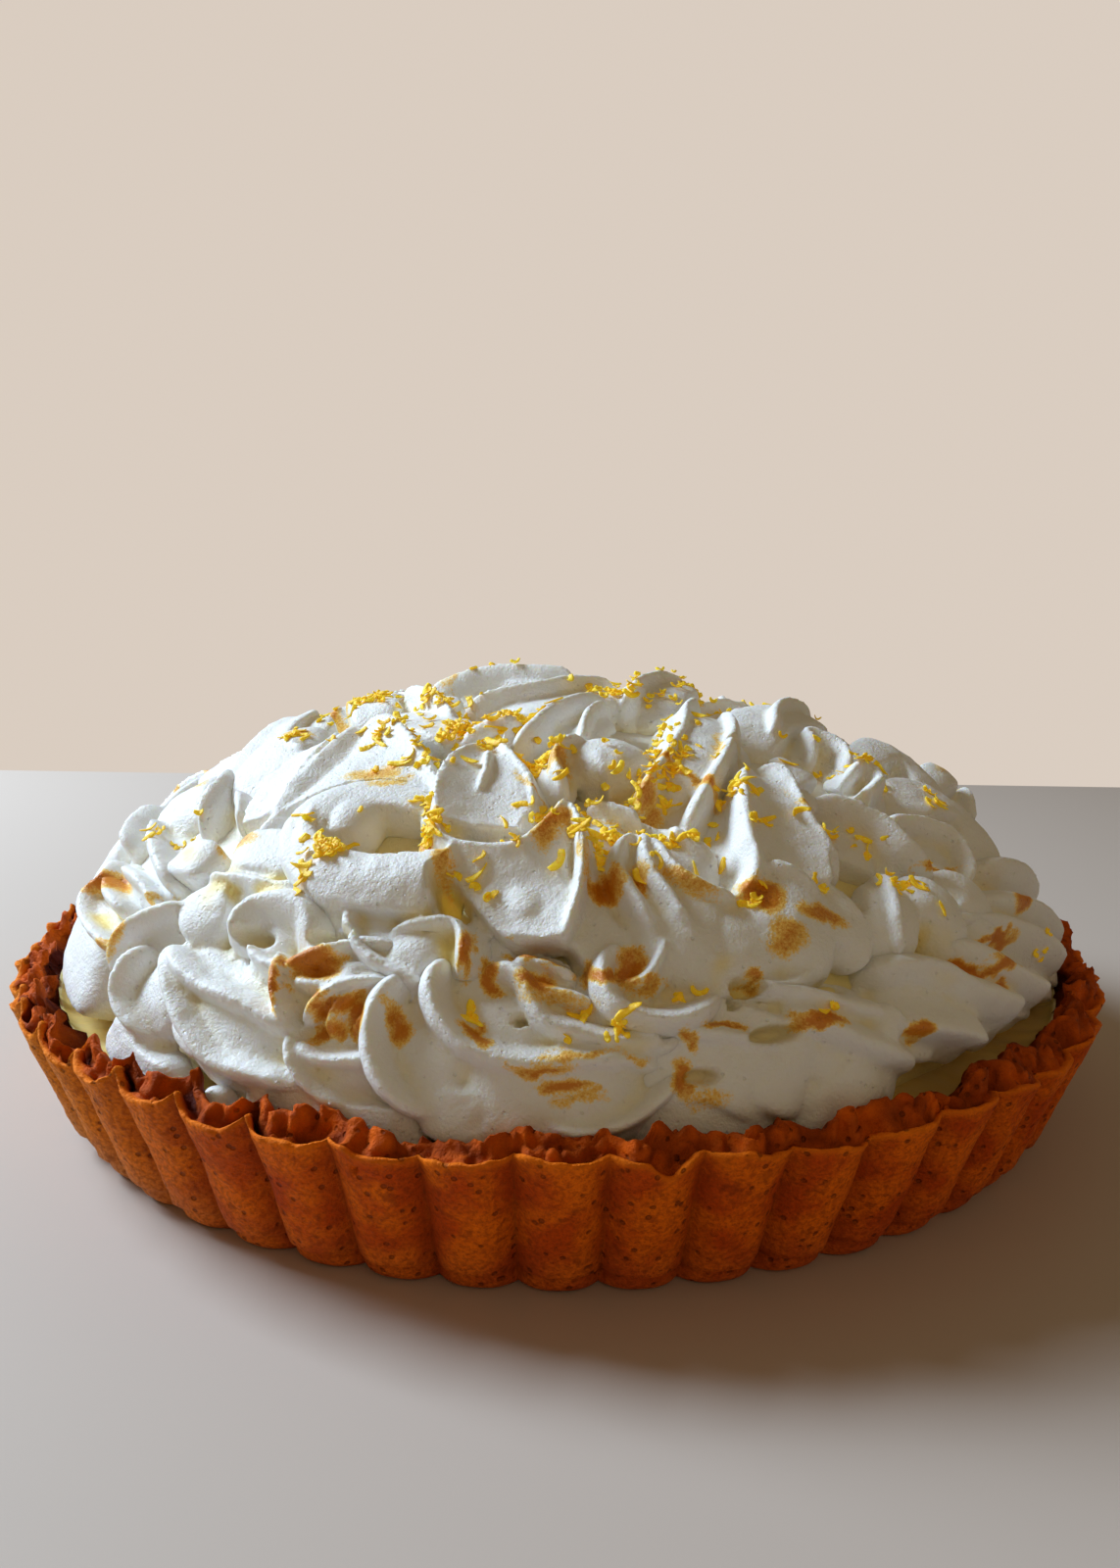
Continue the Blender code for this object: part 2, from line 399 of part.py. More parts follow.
# Folds on the right
crest([(37.6, 33.8, 2), (41, 31.6, 3.5), (43.8, 28.6, 4), (44.6, 25, 3.5), (47, 21.2, 2)], 8.5)
lobe([(33.6, 34.8, 2), (34.6, 33, 4), (34.4, 31, 3)], 3)
crest([(44, 31.8, 1), (50, 32.4, 3), (55.4, 33.4, 4), (56.4, 35.8, 4), (50.4, 35.6, 3)], 6)
lobe([(57, 31, 1), (66, 30, 3), (72, 27, 3.5), (71.4, 23.2, 3), (65, 19.6, 1)], 10, depth=.2)
crest([(44.6, 28.8, 1), (50.6, 27.6, 3), (55, 24.8, 4), (54.6, 21.8, 3), (51, 19.4, 1.5)], 7)
lobe([(48, 24.6, 0), (52, 22.4, .5), (57, 19, 0)], 8.5)
lobe([(13.5, 34.5, 0), (13.5, 30, .5), (15, 27, .5), (17.8, 24.2, .5)], 9, depth=.15)
crest([(3.6, 35.7, 1), (9, 33.5, 1.5), (14, 30.5, 1.5), (18.4, 26.8, 1)], 5)
lobe([(3, 35, -1), (5, 31, 0), (3.5, 27.5, 0)], 8, depth=.15)
lobe([(34, 31, -1), (38, 28, 0), (42, 25, 0)], 8)
lobe([(38, 38, 1), (42, 39, 2.5), (48, 39, 1)], 7)
lobe([(86, 28, 4), (92, 25.5, 7), (98, 23, 3)], 6.5, depth=.15)
crest([(90, 20, 1), (94, 21.4, 7), (99, 20, 2)], 4.5)
lobe([(74, 38, 2), (83, 35, 5), (82, 31, 4), (74, 27.4, 1)], 7.5, depth=.15)

# The top
lobe([(-112, 60, 1), (-128, 70, 4.5), (-150, 79, 5), (-210, 84, 4.5)], 13, depth=.2)
lobe([(-34, 63, 0), (-14, 70, 2.5), (24, 75, 3.5), (66, 74, 2)], 12, depth=.2)
crest([(-44, 64, 1), (-24, 71, 4), (14, 78, 5), (70, 79, 3)], 8)
crest([(-100, 62, 2), (-110, 72, 5.5), (-140, 83, 6), (-220, 86, 5)], 9)
lobe([(34, 67, 2), (75, 71, 4.5), (112, 67, 5), (118, 60, 3)], 12, depth=.2)
crest([(28, 68, 2), (60, 72.5, 5.5), (100, 70, 6), (116, 62, 4)], 8)
lobe([(50, 50, 1), (66, 51.6, 4), (84, 48, 5), (96, 44, 3)], 11, depth=.2)
crest([(56, 48, 2), (72, 50.4, 5.5), (90, 47, 6), (104, 42, 3)], 8)
lobe([(-64, 53, 1), (-80, 55, 3.5), (-104, 51, 3.5), (-112, 48, 1)], 8, depth=.2)
crest([(-30, 56, 1), (-46, 60, 3.5), (-70, 62, 4), (-86, 60, 2)], 8)
lobe([(-20, 52, 0), (-34, 54, 2), (-50, 54, 2), (-58, 52, 0)], 9)
lobe([(-18, 60, 0), (-4, 68, 2), (20, 71, 2)], 10)
lobe([(-26, 53, 0), (-15, 56.5, 2), (-2, 59, 2.5)], 9)
crest([(-24, 51, 0), (-16, 53, 2.5), (-8, 55, 3)], 6)
crest([(60, 42, 1), (66, 44.6, 3), (66, 40.4, 3), (60, 37.4, 1)], 7)

# Upper left
crest([(-68, 34, 0), (-61, 32, 1.5), (-57, 29, 1.5), (-53, 26, 0)], 8)
crest([(-56, 32, 0), (-50, 30.6, 1), (-45, 28, 0)], 8)
lobe([(-78, 30.5, 0), (-69, 27.5, 1), (-60, 25, 0)], 10)
crest([(-67, 24.2, 0), (-60, 22.7, 1.5), (-53, 21.4, 1.5), (-46.6, 19.6, .5)], 7)
crest([(-84, 23, 0), (-75, 21, 1.5), (-68, 19.6, 1)], 8)
lobe([(-92, 36, 0), (-84, 33, 1), (-74, 31, 0)], 10)
crest([(-64, 17, 0), (-58, 16, 1), (-52, 15.4, 0)], 6)
lobe([(-100, 26, 0), (-90, 23, 1), (-80, 19, 0)], 11)


def seeded_strokes():
    """The like strokes on the sides, back and crown, uneven in size, sweep and twist."""
    rng = np.random.default_rng(7)
    strokes = []
    # lowest and highest degrees up, how many, first and last degrees round, half width mm, sweep degrees
    tiers = ((4, 17, 23, 88, 268, 11.5, 7), (14, 30, 18, 88, 268, 12.5, 9), (27, 46, 13, 86, 268, 13.5, 11),
             (42, 64, 9, 84, 268, 14, 16))
    for low, high, count, first, last, size, reach in tiers:
        for i in range(count):
            around = first + (last - first) * (i + 0.5 + rng.uniform(-0.2, 0.2)) / count
            wide = size * rng.uniform(0.85, 1.2)
            bend = rng.uniform(-1, 1)
            sweep = reach * rng.uniform(0.6, 1.3) * rng.choice([-1, 1], p=[0.3, 0.7])
            top = high + rng.uniform(-2, 2)
            route = [
                (around - sweep, top, -1),
                (around - sweep * 0.3 + bend * 3, top * 0.6 + low * 0.4, 1.5),
                (around + bend * 2, low + (top - low) * 0.25, 1),
                (around + sweep * 0.4, low, 0),
            ]
            strokes.append((route, wide, star(rng)))
    crown = ((-120, 50), (130, 50), (155, 62), (185, 52), (200, 68), (225, 60), (240, 46))
    for around, up in crown:
        middle = around + rng.uniform(-5, 5)
        route = [(around - 16, up + 5, 0), (middle, up + 1, 2.5), (around + 14, up - 6, 1)]
        strokes.append((route, rng.uniform(9.5, 12), star(rng)))
    return strokes


def star(rng):
    """A seeded nozzle form: ridges, valley depth, where the first ridge stands and how the star twists."""
    return {
        "ridges": int(rng.integers(5, 7)),
        "depth": rng.uniform(0.36, 0.5),
        "phase": rng.uniform(30, 90),
        "twist": rng.uniform(-50, 50),
    }


def mound_point(around, up, lift):
    """Point and outward normal at an angle round and up, lift metres off the mound's smooth outer form.

    The form is |r / MOUND_RADIUS|^p + |h / MOUND_RISE|^p = 1, turned about Z, h being measured from
    MOUND_FOOT.
    """
    around = np.radians(around)
    cosine = np.cos(np.radians(up))
    sine = np.sin(np.radians(up))
    terms = np.abs(cosine / MOUND_RADIUS) ** MOUND_POWER + np.abs(sine / MOUND_RISE) ** MOUND_POWER
    reach = terms ** (-1 / MOUND_POWER)
    radius = reach * cosine
    height = reach * sine
    slope_r = np.abs(radius / MOUND_RADIUS) ** (MOUND_POWER - 1) / MOUND_RADIUS
    slope_z = np.sign(height) * np.abs(height / MOUND_RISE) ** (MOUND_POWER - 1) / MOUND_RISE
    size = np.hypot(slope_r, slope_z)
    outward = np.stack([np.sin(around), -np.cos(around), np.zeros_like(around)], -1)
    upward = np.array([0.0, 0.0, 1.0])
    normal = outward * (slope_r / size)[..., None] + upward * (slope_z / size)[..., None]
    point = outward * radius[..., None] + upward * (MOUND_FOOT + height)[..., None]
    return point + normal * lift[..., None], normal


def through(points, steps):
    """Smooth curve through the given rows (Catmull-Rom), read at evenly spaced places."""
    rows = np.array(points, float)
    rows = np.vstack([2 * rows[0] - rows[1], rows, 2 * rows[-1] - rows[-2]])
    place = np.linspace(0, len(rows) - 3, steps)
    index = np.minimum(place.astype(int), len(rows) - 4)
    f = (place - index)[:, None]
    a, b, c, d = (rows[index + k] for k in range(4))
    return b + 0.5 * f * (c - a + f * (2 * a - 5 * b + 4 * c - d + f * (3 * (b - c) + d - a)))


def stroke_rings(route, wide, thick=None, ridges=5, depth=0.42, phase=90, twist=0, head=1.0, tail=1.0,
                 tip=0.0):
    """Rings of one piped stroke.

    The route's rows are degrees round, degrees up and the crest's lift in mm. Across it the stroke is a
    star of so many ridges, 2 wide by 2 thick mm, whose valleys are cut depth deep: its reach is
    1 - depth wave^0.9, the wave being a sine between ridges with its points rounded off. It starts
    round over head widths and thins over tail widths, tip running from blunt, 0, to pointed, 1. The star
    twists along the way.
    """
    thick = wide if thick is None else thick
    rows = [row if len(row) == 3 else (*row, 0) for row in route]
    s = np.linspace(0, 1, STROKE_STEPS)
    around, up, lift = through(rows, STROKE_STEPS).T
    middle, normal = mound_point(around, up, (lift - thick) * MM)
    along = np.gradient(middle, axis=0)
    length = np.linalg.norm(np.diff(middle, axis=0), axis=1).sum() / MM
    along /= np.linalg.norm(along, axis=1, keepdims=True)
    side = np.cross(along, normal)
    side /= np.linalg.norm(side, axis=1, keepdims=True)
    over = np.cross(side, along)
    opening = np.clip(s / min(head * wide / length, 0.5), 0, 1)
    closing = np.clip((1 - s) / min(tail * wide / length, 0.95), 0, 1)
    fat = np.sqrt(1 - (1 - opening) ** 2) * (1 - (1 - closing) ** 2) ** (0.5 + 0.5 * tip)
    turn = np.linspace(0, 2 * math.pi, STROKE_SIDES, endpoint=False)
    start = np.radians(phase + twist * s)[:, None]
    wave = np.sqrt(np.sin(ridges * (turn - start) / 2) ** 2 + ROUNDED**2) - ROUNDED
    wave = wave / (math.sqrt(1 + ROUNDED**2) - ROUNDED)
    reach = fat[:, None] * (1 - depth * wave**0.9) * MM
    across = (wide * reach * np.cos(turn))[..., None]
    outward = (thick * reach * np.sin(turn))[..., None]
    return middle[:, None] + side[:, None] * across + over[:, None] * outward


def petal_rings(rim, thick, foot, belly):
    """Rings round a petal, each down its front from the rim to the foot and back up behind.

    The front is a straight blend of the two edges plus belly times the sine of the way down. The back
    falls away from the sharp rim to the full thickness, mm, over the first PETAL_BEVEL of the way.
    """
    edges = []
    for route in (rim, foot):
        around, up, lift = through(route, STROKE_STEPS).T
        edges.append(mound_point(around, up, lift * MM))
    (top, top_normal), (low, low_normal) = edges
    down = np.linspace(0, 1, STROKE_SIDES // 2)[:, None, None]
    normal = top_normal * (1 - down) + low_normal * down
    front = top * (1 - down) + low * down + normal * belly * MM * np.sin(math.pi * down)
    depth = PETAL_EDGE + (thick - PETAL_EDGE) * np.sin(np.clip(down / PETAL_BEVEL, 0, 1) * math.pi / 2)
    back = front - normal * depth * MM
    return np.concatenate([front, back[::-1]]).transpose(1, 0, 2)


def skin(rings, first):
    """Points and faces of a stack of rings as a closed body, with a point at each end, counted from first."""
    count, around = rings.shape[:2]
    ring, place = np.meshgrid(np.arange(count - 1), np.arange(around), indexing="ij")
    here = ring * around + place
    beside = ring * around + (place + 1) % around
    quads = np.stack([here, beside, beside + around, here + around], -1).reshape(-1, 4)
    points = np.vstack([rings.reshape(-1, 3), rings[0].mean(axis=0), rings[-1].mean(axis=0)])
    edge = np.arange(around)
    turned_edge = np.roll(edge, -1)
    last = (count - 1) * around
    start = np.stack([turned_edge, edge, np.full(around, count * around)], 1)
    end = np.stack([last + edge, last + turned_edge, np.full(around, count * around + 1)], 1)
    return points, (quads + first).tolist() + (np.vstack([start, end]) + first).tolist()


def core_rings():
    """The plain heart of the mound, CORE_DEPTH inside its outer form."""
    around, up = np.meshgrid(np.linspace(-180, 180, 72, endpoint=False), np.linspace(-6, 88, 18))
    return mound_point(around, up, np.full(around.shape, -CORE_DEPTH))[0]


def room_profile():
    """The space that meringue may take: on the curd, inside the lip, and bulging a little above it."""
    lip = inner_radius(LIP_CLEAR_TOP) - LIP_CLEAR
    high = MOUND_FOOT + MOUND_RISE + ROOM_ABOVE
    return [
        (0.0, high),
        (BULGE_RADIUS, high),
        (BULGE_RADIUS, LIP_CLEAR_TOP + BULGE_UNDER),
        (lip, LIP_CLEAR_TOP),
        (inner_radius(CURD_TOP) - CURD_CLEAR, CURD_TOP + FIT),
        (0.0, CURD_TOP + FIT),
    ]


def keep_largest_body(piece):
    """Keep only the largest connected body, and drop bubbles and crumbs that the remesh leaves."""
    mesh = bmesh.new()
    mesh.from_mesh(piece.data)
    unseen = set(mesh.verts)
    bodies = []
    while unseen:
        front = [unseen.pop()]
        body = list(front)
        while front:
            vert = front.pop()
            near = {edge.other_vert(vert) for edge in vert.link_edges} & unseen
            unseen -= near
            front += near
            body += near
        bodies.append(body)
    bodies.sort(key=len)
    bmesh.ops.delete(mesh, geom=[v for body in bodies[:-1] for v in body])
    mesh.to_mesh(piece.data)
    mesh.free()


def make_meringue(collection, cutters):
    points = np.empty((0, 3))
    faces = []
    bodies = [core_rings()]
    for route, wide, shape in FRONT_STROKES + seeded_strokes():
        rings = petal_rings if "foot" in shape else stroke_rings
        bodies.append(rings(route, wide, **shape))
    for rings in bodies:
        more_points, more_faces = skin(rings, len(points))
        points = np.vstack([points, more_points])
        faces += more_faces
    mesh = bpy.data.meshes.new("meringue")
    mesh.from_pydata(points.tolist(), [], faces)
    meringue = bpy.data.objects.new("meringue", mesh)
    collection.objects.link(meringue)
    fuse = meringue.modifiers.new("fuse", "REMESH")
    fuse.mode = "VOXEL"
    fuse.voxel_size = VOXEL
    apply_modifiers(meringue)
    keep_largest_body(meringue)

    room = turned("meringue_room", room_profile(), CURD_STEPS, cutters)
    apply_modifiers(room)
    room.hide_render = True
    room.display_type = "WIRE"
    settle = meringue.modifiers.new("settle", "SMOOTH")
    settle.factor = 0.5
    settle.iterations = 2
    thin = meringue.modifiers.new("thin", "DECIMATE")
    thin.ratio = MERINGUE_TRIANGLES / (2 * len(meringue.data.polygons))
    trim = meringue.modifiers.new("trim", "BOOLEAN")
    trim.operation = "INTERSECT"
    trim.solver = "EXACT"
    trim.object = room
    apply_modifiers(meringue)
    keep_largest_body(meringue)
    meringue.data.materials.clear()
    meringue.data.materials.append(material("whipped_meringue", (0.90, 0.88, 0.82), 0.6))
    return meringue


def main():
    for old in list(bpy.data.objects):
        bpy.data.objects.remove(old, do_unlink=True)
    pie = new_collection("lemon_meringue_pie")
    cutters = new_collection("cutters")
    make_crust(pie)
    make_curd(pie)
    make_meringue(pie, cutters)
    for piece in pie.objects:
        piece.data.shade_smooth()


main()
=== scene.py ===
"""Lemon meringue pie: a baked fluted crust, a bed of lemon curd, a mound of piped and torched meringue and
fresh lemon zest. Metres, +Z up. Degrees round run from the front (-Y) to the right (+X)."""
import math

import bpy
import numpy as np
from mathutils import Matrix, Vector
from mathutils.bvhtree import BVHTree


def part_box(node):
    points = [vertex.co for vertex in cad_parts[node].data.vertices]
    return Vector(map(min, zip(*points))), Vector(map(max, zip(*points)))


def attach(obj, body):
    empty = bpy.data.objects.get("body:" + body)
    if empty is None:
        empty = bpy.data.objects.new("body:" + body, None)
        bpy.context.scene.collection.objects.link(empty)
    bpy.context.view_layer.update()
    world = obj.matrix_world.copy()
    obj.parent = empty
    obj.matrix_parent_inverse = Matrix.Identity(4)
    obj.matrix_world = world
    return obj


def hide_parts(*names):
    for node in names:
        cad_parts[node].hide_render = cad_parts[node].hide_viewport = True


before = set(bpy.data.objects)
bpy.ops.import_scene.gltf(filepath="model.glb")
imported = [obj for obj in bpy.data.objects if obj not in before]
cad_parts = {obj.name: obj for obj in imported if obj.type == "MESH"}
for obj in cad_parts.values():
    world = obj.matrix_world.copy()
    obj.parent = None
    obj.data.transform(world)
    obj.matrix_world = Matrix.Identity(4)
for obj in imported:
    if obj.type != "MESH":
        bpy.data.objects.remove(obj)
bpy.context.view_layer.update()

MM = 0.001

# ------------------------------------------------------------------------------
# The camera stands in front of the pie, a little above its rim, with the lens close to it. It leans a
# little to one side, as a hand-held camera does.
crust_low, crust_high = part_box("crust")
RIM = (crust_high.x - crust_low.x) / 2
CAMERA_PLACE = Vector((0, -2.2784, 0.8895)) * RIM
CAMERA_PITCH = 0.1636
CAMERA_ROLL = 0.0153
ahead = Vector((0, math.cos(CAMERA_PITCH), -math.sin(CAMERA_PITCH)))
level_right = Vector((1, 0, 0))
level_up = level_right.cross(ahead)
right = level_right * math.cos(CAMERA_ROLL) + level_up * math.sin(CAMERA_ROLL)
camera = bpy.data.objects.new("camera", bpy.data.cameras.new("camera"))
camera.data.lens = 27
camera.data.clip_start = 0.01
camera.matrix_world = Matrix.LocRotScale(
    CAMERA_PLACE, Matrix((right, right.cross(ahead), -ahead)).transposed().to_quaternion(), None)
bpy.context.collection.objects.link(camera)
bpy.context.scene.camera = camera
bpy.context.scene.view_settings.view_transform = "Standard"


# ------------------------------------------------------------------------------
# The floor is a plain pale sheet under a plain pale room. A large cool window stands on the left and a
# little behind, and a weak warm light fills the front.
def place(name, data):
    """Puts new data into the scene as an object at the origin."""
    new = bpy.data.objects.new(name, data)
    bpy.context.collection.objects.link(new)
    return new


def plain_mesh(name, points, quads, triangles=()):
    """A smooth mesh of an array of points, rows of four corners and rows of three corners."""
    mesh = bpy.data.meshes.new(name)
    mesh.from_pydata(points.tolist(), [], np.asarray(quads).tolist() + np.asarray(triangles).tolist())
    mesh.shade_smooth()
    mesh.validate()
    return mesh


FLOOR_HALF = 0.45
floor_corners = np.array([(-1, -1, 0), (1, -1, 0), (1, 1, 0), (-1, 1, 0)]) * FLOOR_HALF
floor = place("floor", plain_mesh("floor", floor_corners, [(0, 1, 2, 3)]))
floor_paint = bpy.data.materials.new("floor_paint")
floor_paint.use_nodes = True
floor_paint.node_tree.nodes["Principled BSDF"].inputs["Base Color"].default_value = (0.53, 0.45, 0.395, 1)
floor_paint.node_tree.nodes["Principled BSDF"].inputs["Roughness"].default_value = 0.7
floor.data.materials.append(floor_paint)


def lamp(name, place_at, size, watts, colour):
    """A square soft light that looks at the middle of the pie and isn't seen itself."""
    light = bpy.data.lights.new(name, "AREA")
    light.size = size
    light.energy = watts
    light.color = colour
    new = place(name, light)
    new.matrix_world = Matrix.LocRotScale(
        Vector(place_at), (Vector((0, 0, 0.05)) - Vector(place_at)).to_track_quat("-Z", "Y"), None)
    new.visible_camera = False
    return new


lamp("window", (-0.98, 0.32, 0.80), 0.50, 28, (0.68, 0.84, 1.0))
lamp("room_fill", (0.30, -1.4, 0.9), 1.0, 1.6, (1.0, 0.82, 0.50))
room = bpy.data.worlds.new("room")
bpy.context.scene.world = room
room.use_nodes = True
room_light = room.node_tree.nodes["Background"]
room_light.inputs["Color"].default_value = (1.0, 0.76, 0.45, 1)
room_light.inputs["Strength"].default_value = 0.19
# The room's far wall is paler to the eye than the light that it gives
far_wall = room.node_tree.nodes.new("ShaderNodeBackground")
far_wall.inputs["Color"].default_value = (0.70, 0.61, 0.53, 1)
seen = room.node_tree.nodes.new("ShaderNodeLightPath")
either = room.node_tree.nodes.new("ShaderNodeMixShader")
room.node_tree.links.new(seen.outputs["Is Camera Ray"], either.inputs[0])
room.node_tree.links.new(room_light.outputs[0], either.inputs[1])
room.node_tree.links.new(far_wall.outputs[0], either.inputs[2])
room.node_tree.links.new(either.outputs[0], room.node_tree.nodes["World Output"].inputs["Surface"])


# ------------------------------------------------------------------------------
# Crust: sweet shortcrust pressed into a fluted tin, trimmed roughly and baked through. The outside keeps
# the tin's flutes and a crisp wavy edge, and the torn pastry behind it stands a little higher and darker.
FLUTES = 53
FLUTE_TURN = math.radians(3.9)
FLUTE_DEPTH, FLUTE_POWER = 4.3 * MM, 2.7
BASE_RADIUS = 0.913 * RIM
EDGE_HEIGHT = 31 * MM
FOOT_ROUND = 4 * MM
CRUST_FLOOR = 6 * MM
AROUND = FLUTES * 28


def hashed(cells, seed):
    """A random number from -1 to 1 for each row of three whole numbers, the same each time for a row."""
    mixed = (cells[..., 0] * 73856093) ^ (cells[..., 1] * 19349663) ^ (cells[..., 2] * 83492791)
    return np.random.default_rng(seed).uniform(-1, 1, 4096)[mixed & 4095]


def clouds(points, size, seed):
    """Soft random hills from -1 to 1: random numbers at the corners of cubes of that size, blended
    between the corners by the curve 3t^2 - 2t^3."""
    scaled = np.asarray(points) / size + 1000
    cell = np.floor(scaled).astype(np.int64)
    share = scaled - cell
    share = share * share * (3 - 2 * share)
    total = 0
    for corner in range(8):
        step = np.array([corner & 1, corner >> 1 & 1, corner >> 2])
        weight = np.prod(np.where(step, share, 1 - share), axis=-1)
        total = total + weight * hashed(cell + step, seed)
    return total


def rough(points, *layers, base=0):
    """A base plus layers of clouds, each given as its height, its size in mm and its seed."""
    return sum((high * clouds(points, size * MM, seed) for high, size, seed in layers), base)


def lumps(points, size, seed):
    """Round lumps with sharp creases between them, from 0 in a crease to 1 on a lump."""
    return np.minimum(np.abs(clouds(points, size, seed)) * 1.8, 1)


def ramp(value, low, high):
    """0 below low, 1 above high and a smooth step between them."""
    share = np.clip((value - low) / (high - low), 0, 1)
    return share * share * (3 - 2 * share)


def grid_faces(rows, columns):
    """Quads over a grid that closes on itself round its columns, facing out where rows run upward."""
    row, column = np.meshgrid(np.arange(rows - 1), np.arange(columns), indexing="ij")
    beside = (column + 1) % columns
    faces = np.stack([row * columns + column, row * columns + beside, (row + 1) * columns + beside,
                      (row + 1) * columns + column], -1)
    return faces.reshape(-1, 4)


def cap_faces(first, columns, pole, up):
    """Triangles from one ring of the grid to a pole point, facing up or down."""
    ring = first + np.arange(columns)
    beside = first + (np.arange(columns) + 1) % columns
    centre = np.full(columns, pole)
    return np.stack([ring, beside, centre] if up else [beside, ring, centre], -1)


def turned_mesh(name, rings, first, last):
    """A closed mesh of rings in order from its underside, with a point on the axis at either end."""
    rows, columns = rings.shape[:2]
    pole = rows * columns
    ends = np.vstack([cap_faces(0, columns, pole, False), cap_faces(pole - columns, columns, pole + 1, True)])
    points = np.vstack([rings.reshape(-1, 3), [(0, 0, first), (0, 0, last)]])
    return plain_mesh(name, points, grid_faces(rows, columns), ends)


def add_value(mesh, name, values):
    """A number at each point of a mesh, for its material to read."""
    mesh.attributes.new(name, "FLOAT", "POINT").data.foreach_set("value", np.asarray(values, np.float32))


turn = np.linspace(0, 2 * np.pi, AROUND, endpoint=False)
outward = np.stack([np.sin(turn), -np.cos(turn), 0 * turn], -1)


def flute(angle):
    """How far a flute's face falls back from its crown, 0 to 1: a round lobe with a narrow soft groove."""
    across = ((angle - FLUTE_TURN) * FLUTES / (2 * np.pi)) % 1 - 0.5
    return (2 * np.abs(across)) ** FLUTE_POWER


# The edge of the wall rises and dips in soft waves, with one deep nick near the front
front_ring = outward * RIM
# Scoops behind the edge, one to a flute on the left, where the trimming knife tore the pastry out
LEFT = math.radians(-64)
SCOOP_RISE, SCOOP_DEEP = 3.4, 4.2
left_side = ramp(np.cos(turn - LEFT), 0.55, 0.93)
whole_edge = EDGE_HEIGHT + MM * (rough(front_ring, (1.4, 14, 3), (1.0, 6, 4), (0.35, 2.2, 5))
                                 + SCOOP_RISE * left_side * (flute(turn) ** 1.6 - 0.3))
NICK_AT, NICK_WIDE, NICK_DEEP = math.radians(7.9), math.radians(1.3), 3.4 * MM
edge = whole_edge - NICK_DEEP * np.exp(-((turn - NICK_AT) / NICK_WIDE) ** 2)
flakes = (ramp(clouds(front_ring, 9 * MM, 20), 0.0, 0.14)
          + 0.7 * ramp(clouds(front_ring, 4 * MM, 21), 0.05, 0.3))
crest_rise = rough(front_ring, (1.6, 19, 6), (1.0, 7, 7), base=2.6) + 1.5 * flakes
crest_rise = MM * crest_rise * (1 - 0.45 * left_side)
crest_back = MM * rough(front_ring, (1.6, 13, 8), (1.1, 5, 9), base=4.4)
scoop = MM * (0.2 + 1.6 * ramp(clouds(front_ring, 11 * MM, 10), 0.2, 0.7)
              + SCOOP_DEEP * left_side * np.cos((turn - FLUTE_TURN) * FLUTES / 2) ** 2)

# The crisp edge runs in this far before the torn pastry, whose crest then falls to the inner wall
EDGE_RUN = 1.5 * MM
CREST_FALL, CREST_ROUND = 3.2 * MM, 1.8 * MM
INNER_CLEAR, INNER_TAPER, FLOOR_CLEAR = 9.5 * MM, 7 * MM, 17 * MM
rows_out, rows_up, rows_torn = [], [], []


def ring_row(radius, height, torn=0.0):
    """One ring of the crust: its radius and height all round, and how torn its surface is."""
    rows_out.append(radius + 0 * turn)
    rows_up.append(height + 0 * turn)
    rows_torn.append(torn + 0 * turn)


for share in (0.03, 0.5, 0.93):
    ring_row((BASE_RADIUS - FOOT_ROUND) * share, 0)
for share in np.linspace(0, 1, 6):
    bend = share * np.pi / 2
    foot = BASE_RADIUS - FOOT_ROUND * (1 - math.sin(bend))
    ring_row(foot - FLUTE_DEPTH * flute(turn) * (0.6 + 0.4 * share), FOOT_ROUND * (1 - math.cos(bend)))
for share in np.linspace(0, 1, 24)[1:]:
    height = FOOT_ROUND + (edge - FOOT_ROUND) * share
    lean = BASE_RADIUS + (RIM - BASE_RADIUS) * height / EDGE_HEIGHT
    groove_depth = FLUTE_DEPTH * flute(turn) * (1 - 0.25 * share ** 6)
    ring_row(lean - groove_depth, height, ramp(share, 0.93, 1) * 0.35)
top_out = rows_out[-1]
for back, drop in ((0.35, -0.25), (0.9, -0.15), (1.5, 0.2)):
    ring_row(top_out - back * MM, edge - drop * MM, 0.4 + 0.2 * back)
for share in np.linspace(0, 1, 11)[1:]:
    back = EDGE_RUN + (crest_back - EDGE_RUN) * share
    sink = -scoop * np.sin(np.pi * min(share * 1.15, 1)) ** 1.2
    ring_row(top_out - back, edge + (whole_edge - edge + crest_rise) * share ** 0.8 + sink, 1)
for share in np.linspace(0, 1, 7)[1:]:
    ring_row(top_out - crest_back - CREST_ROUND * math.sin(share * np.pi / 2),
             whole_edge + crest_rise - CREST_FALL * (1 - math.cos(share * np.pi / 2)), 1)
inner = np.minimum(rows_out[-1], RIM - INNER_CLEAR)
inner_top = whole_edge + crest_rise - CREST_FALL
for share in np.linspace(0, 1, 8)[1:]:
    ring_row(inner - INNER_TAPER * share, inner_top * (1 - share) + CRUST_FLOOR * share, 1 - share)
for share in (0.6, 0.03):
    ring_row((RIM - FLOOR_CLEAR) * share, CRUST_FLOOR)

radius, height, torn = np.array(rows_out), np.array(rows_up), np.array(rows_torn)
points = outward * radius[..., None] + np.array([0, 0, 1.0]) * height[..., None]
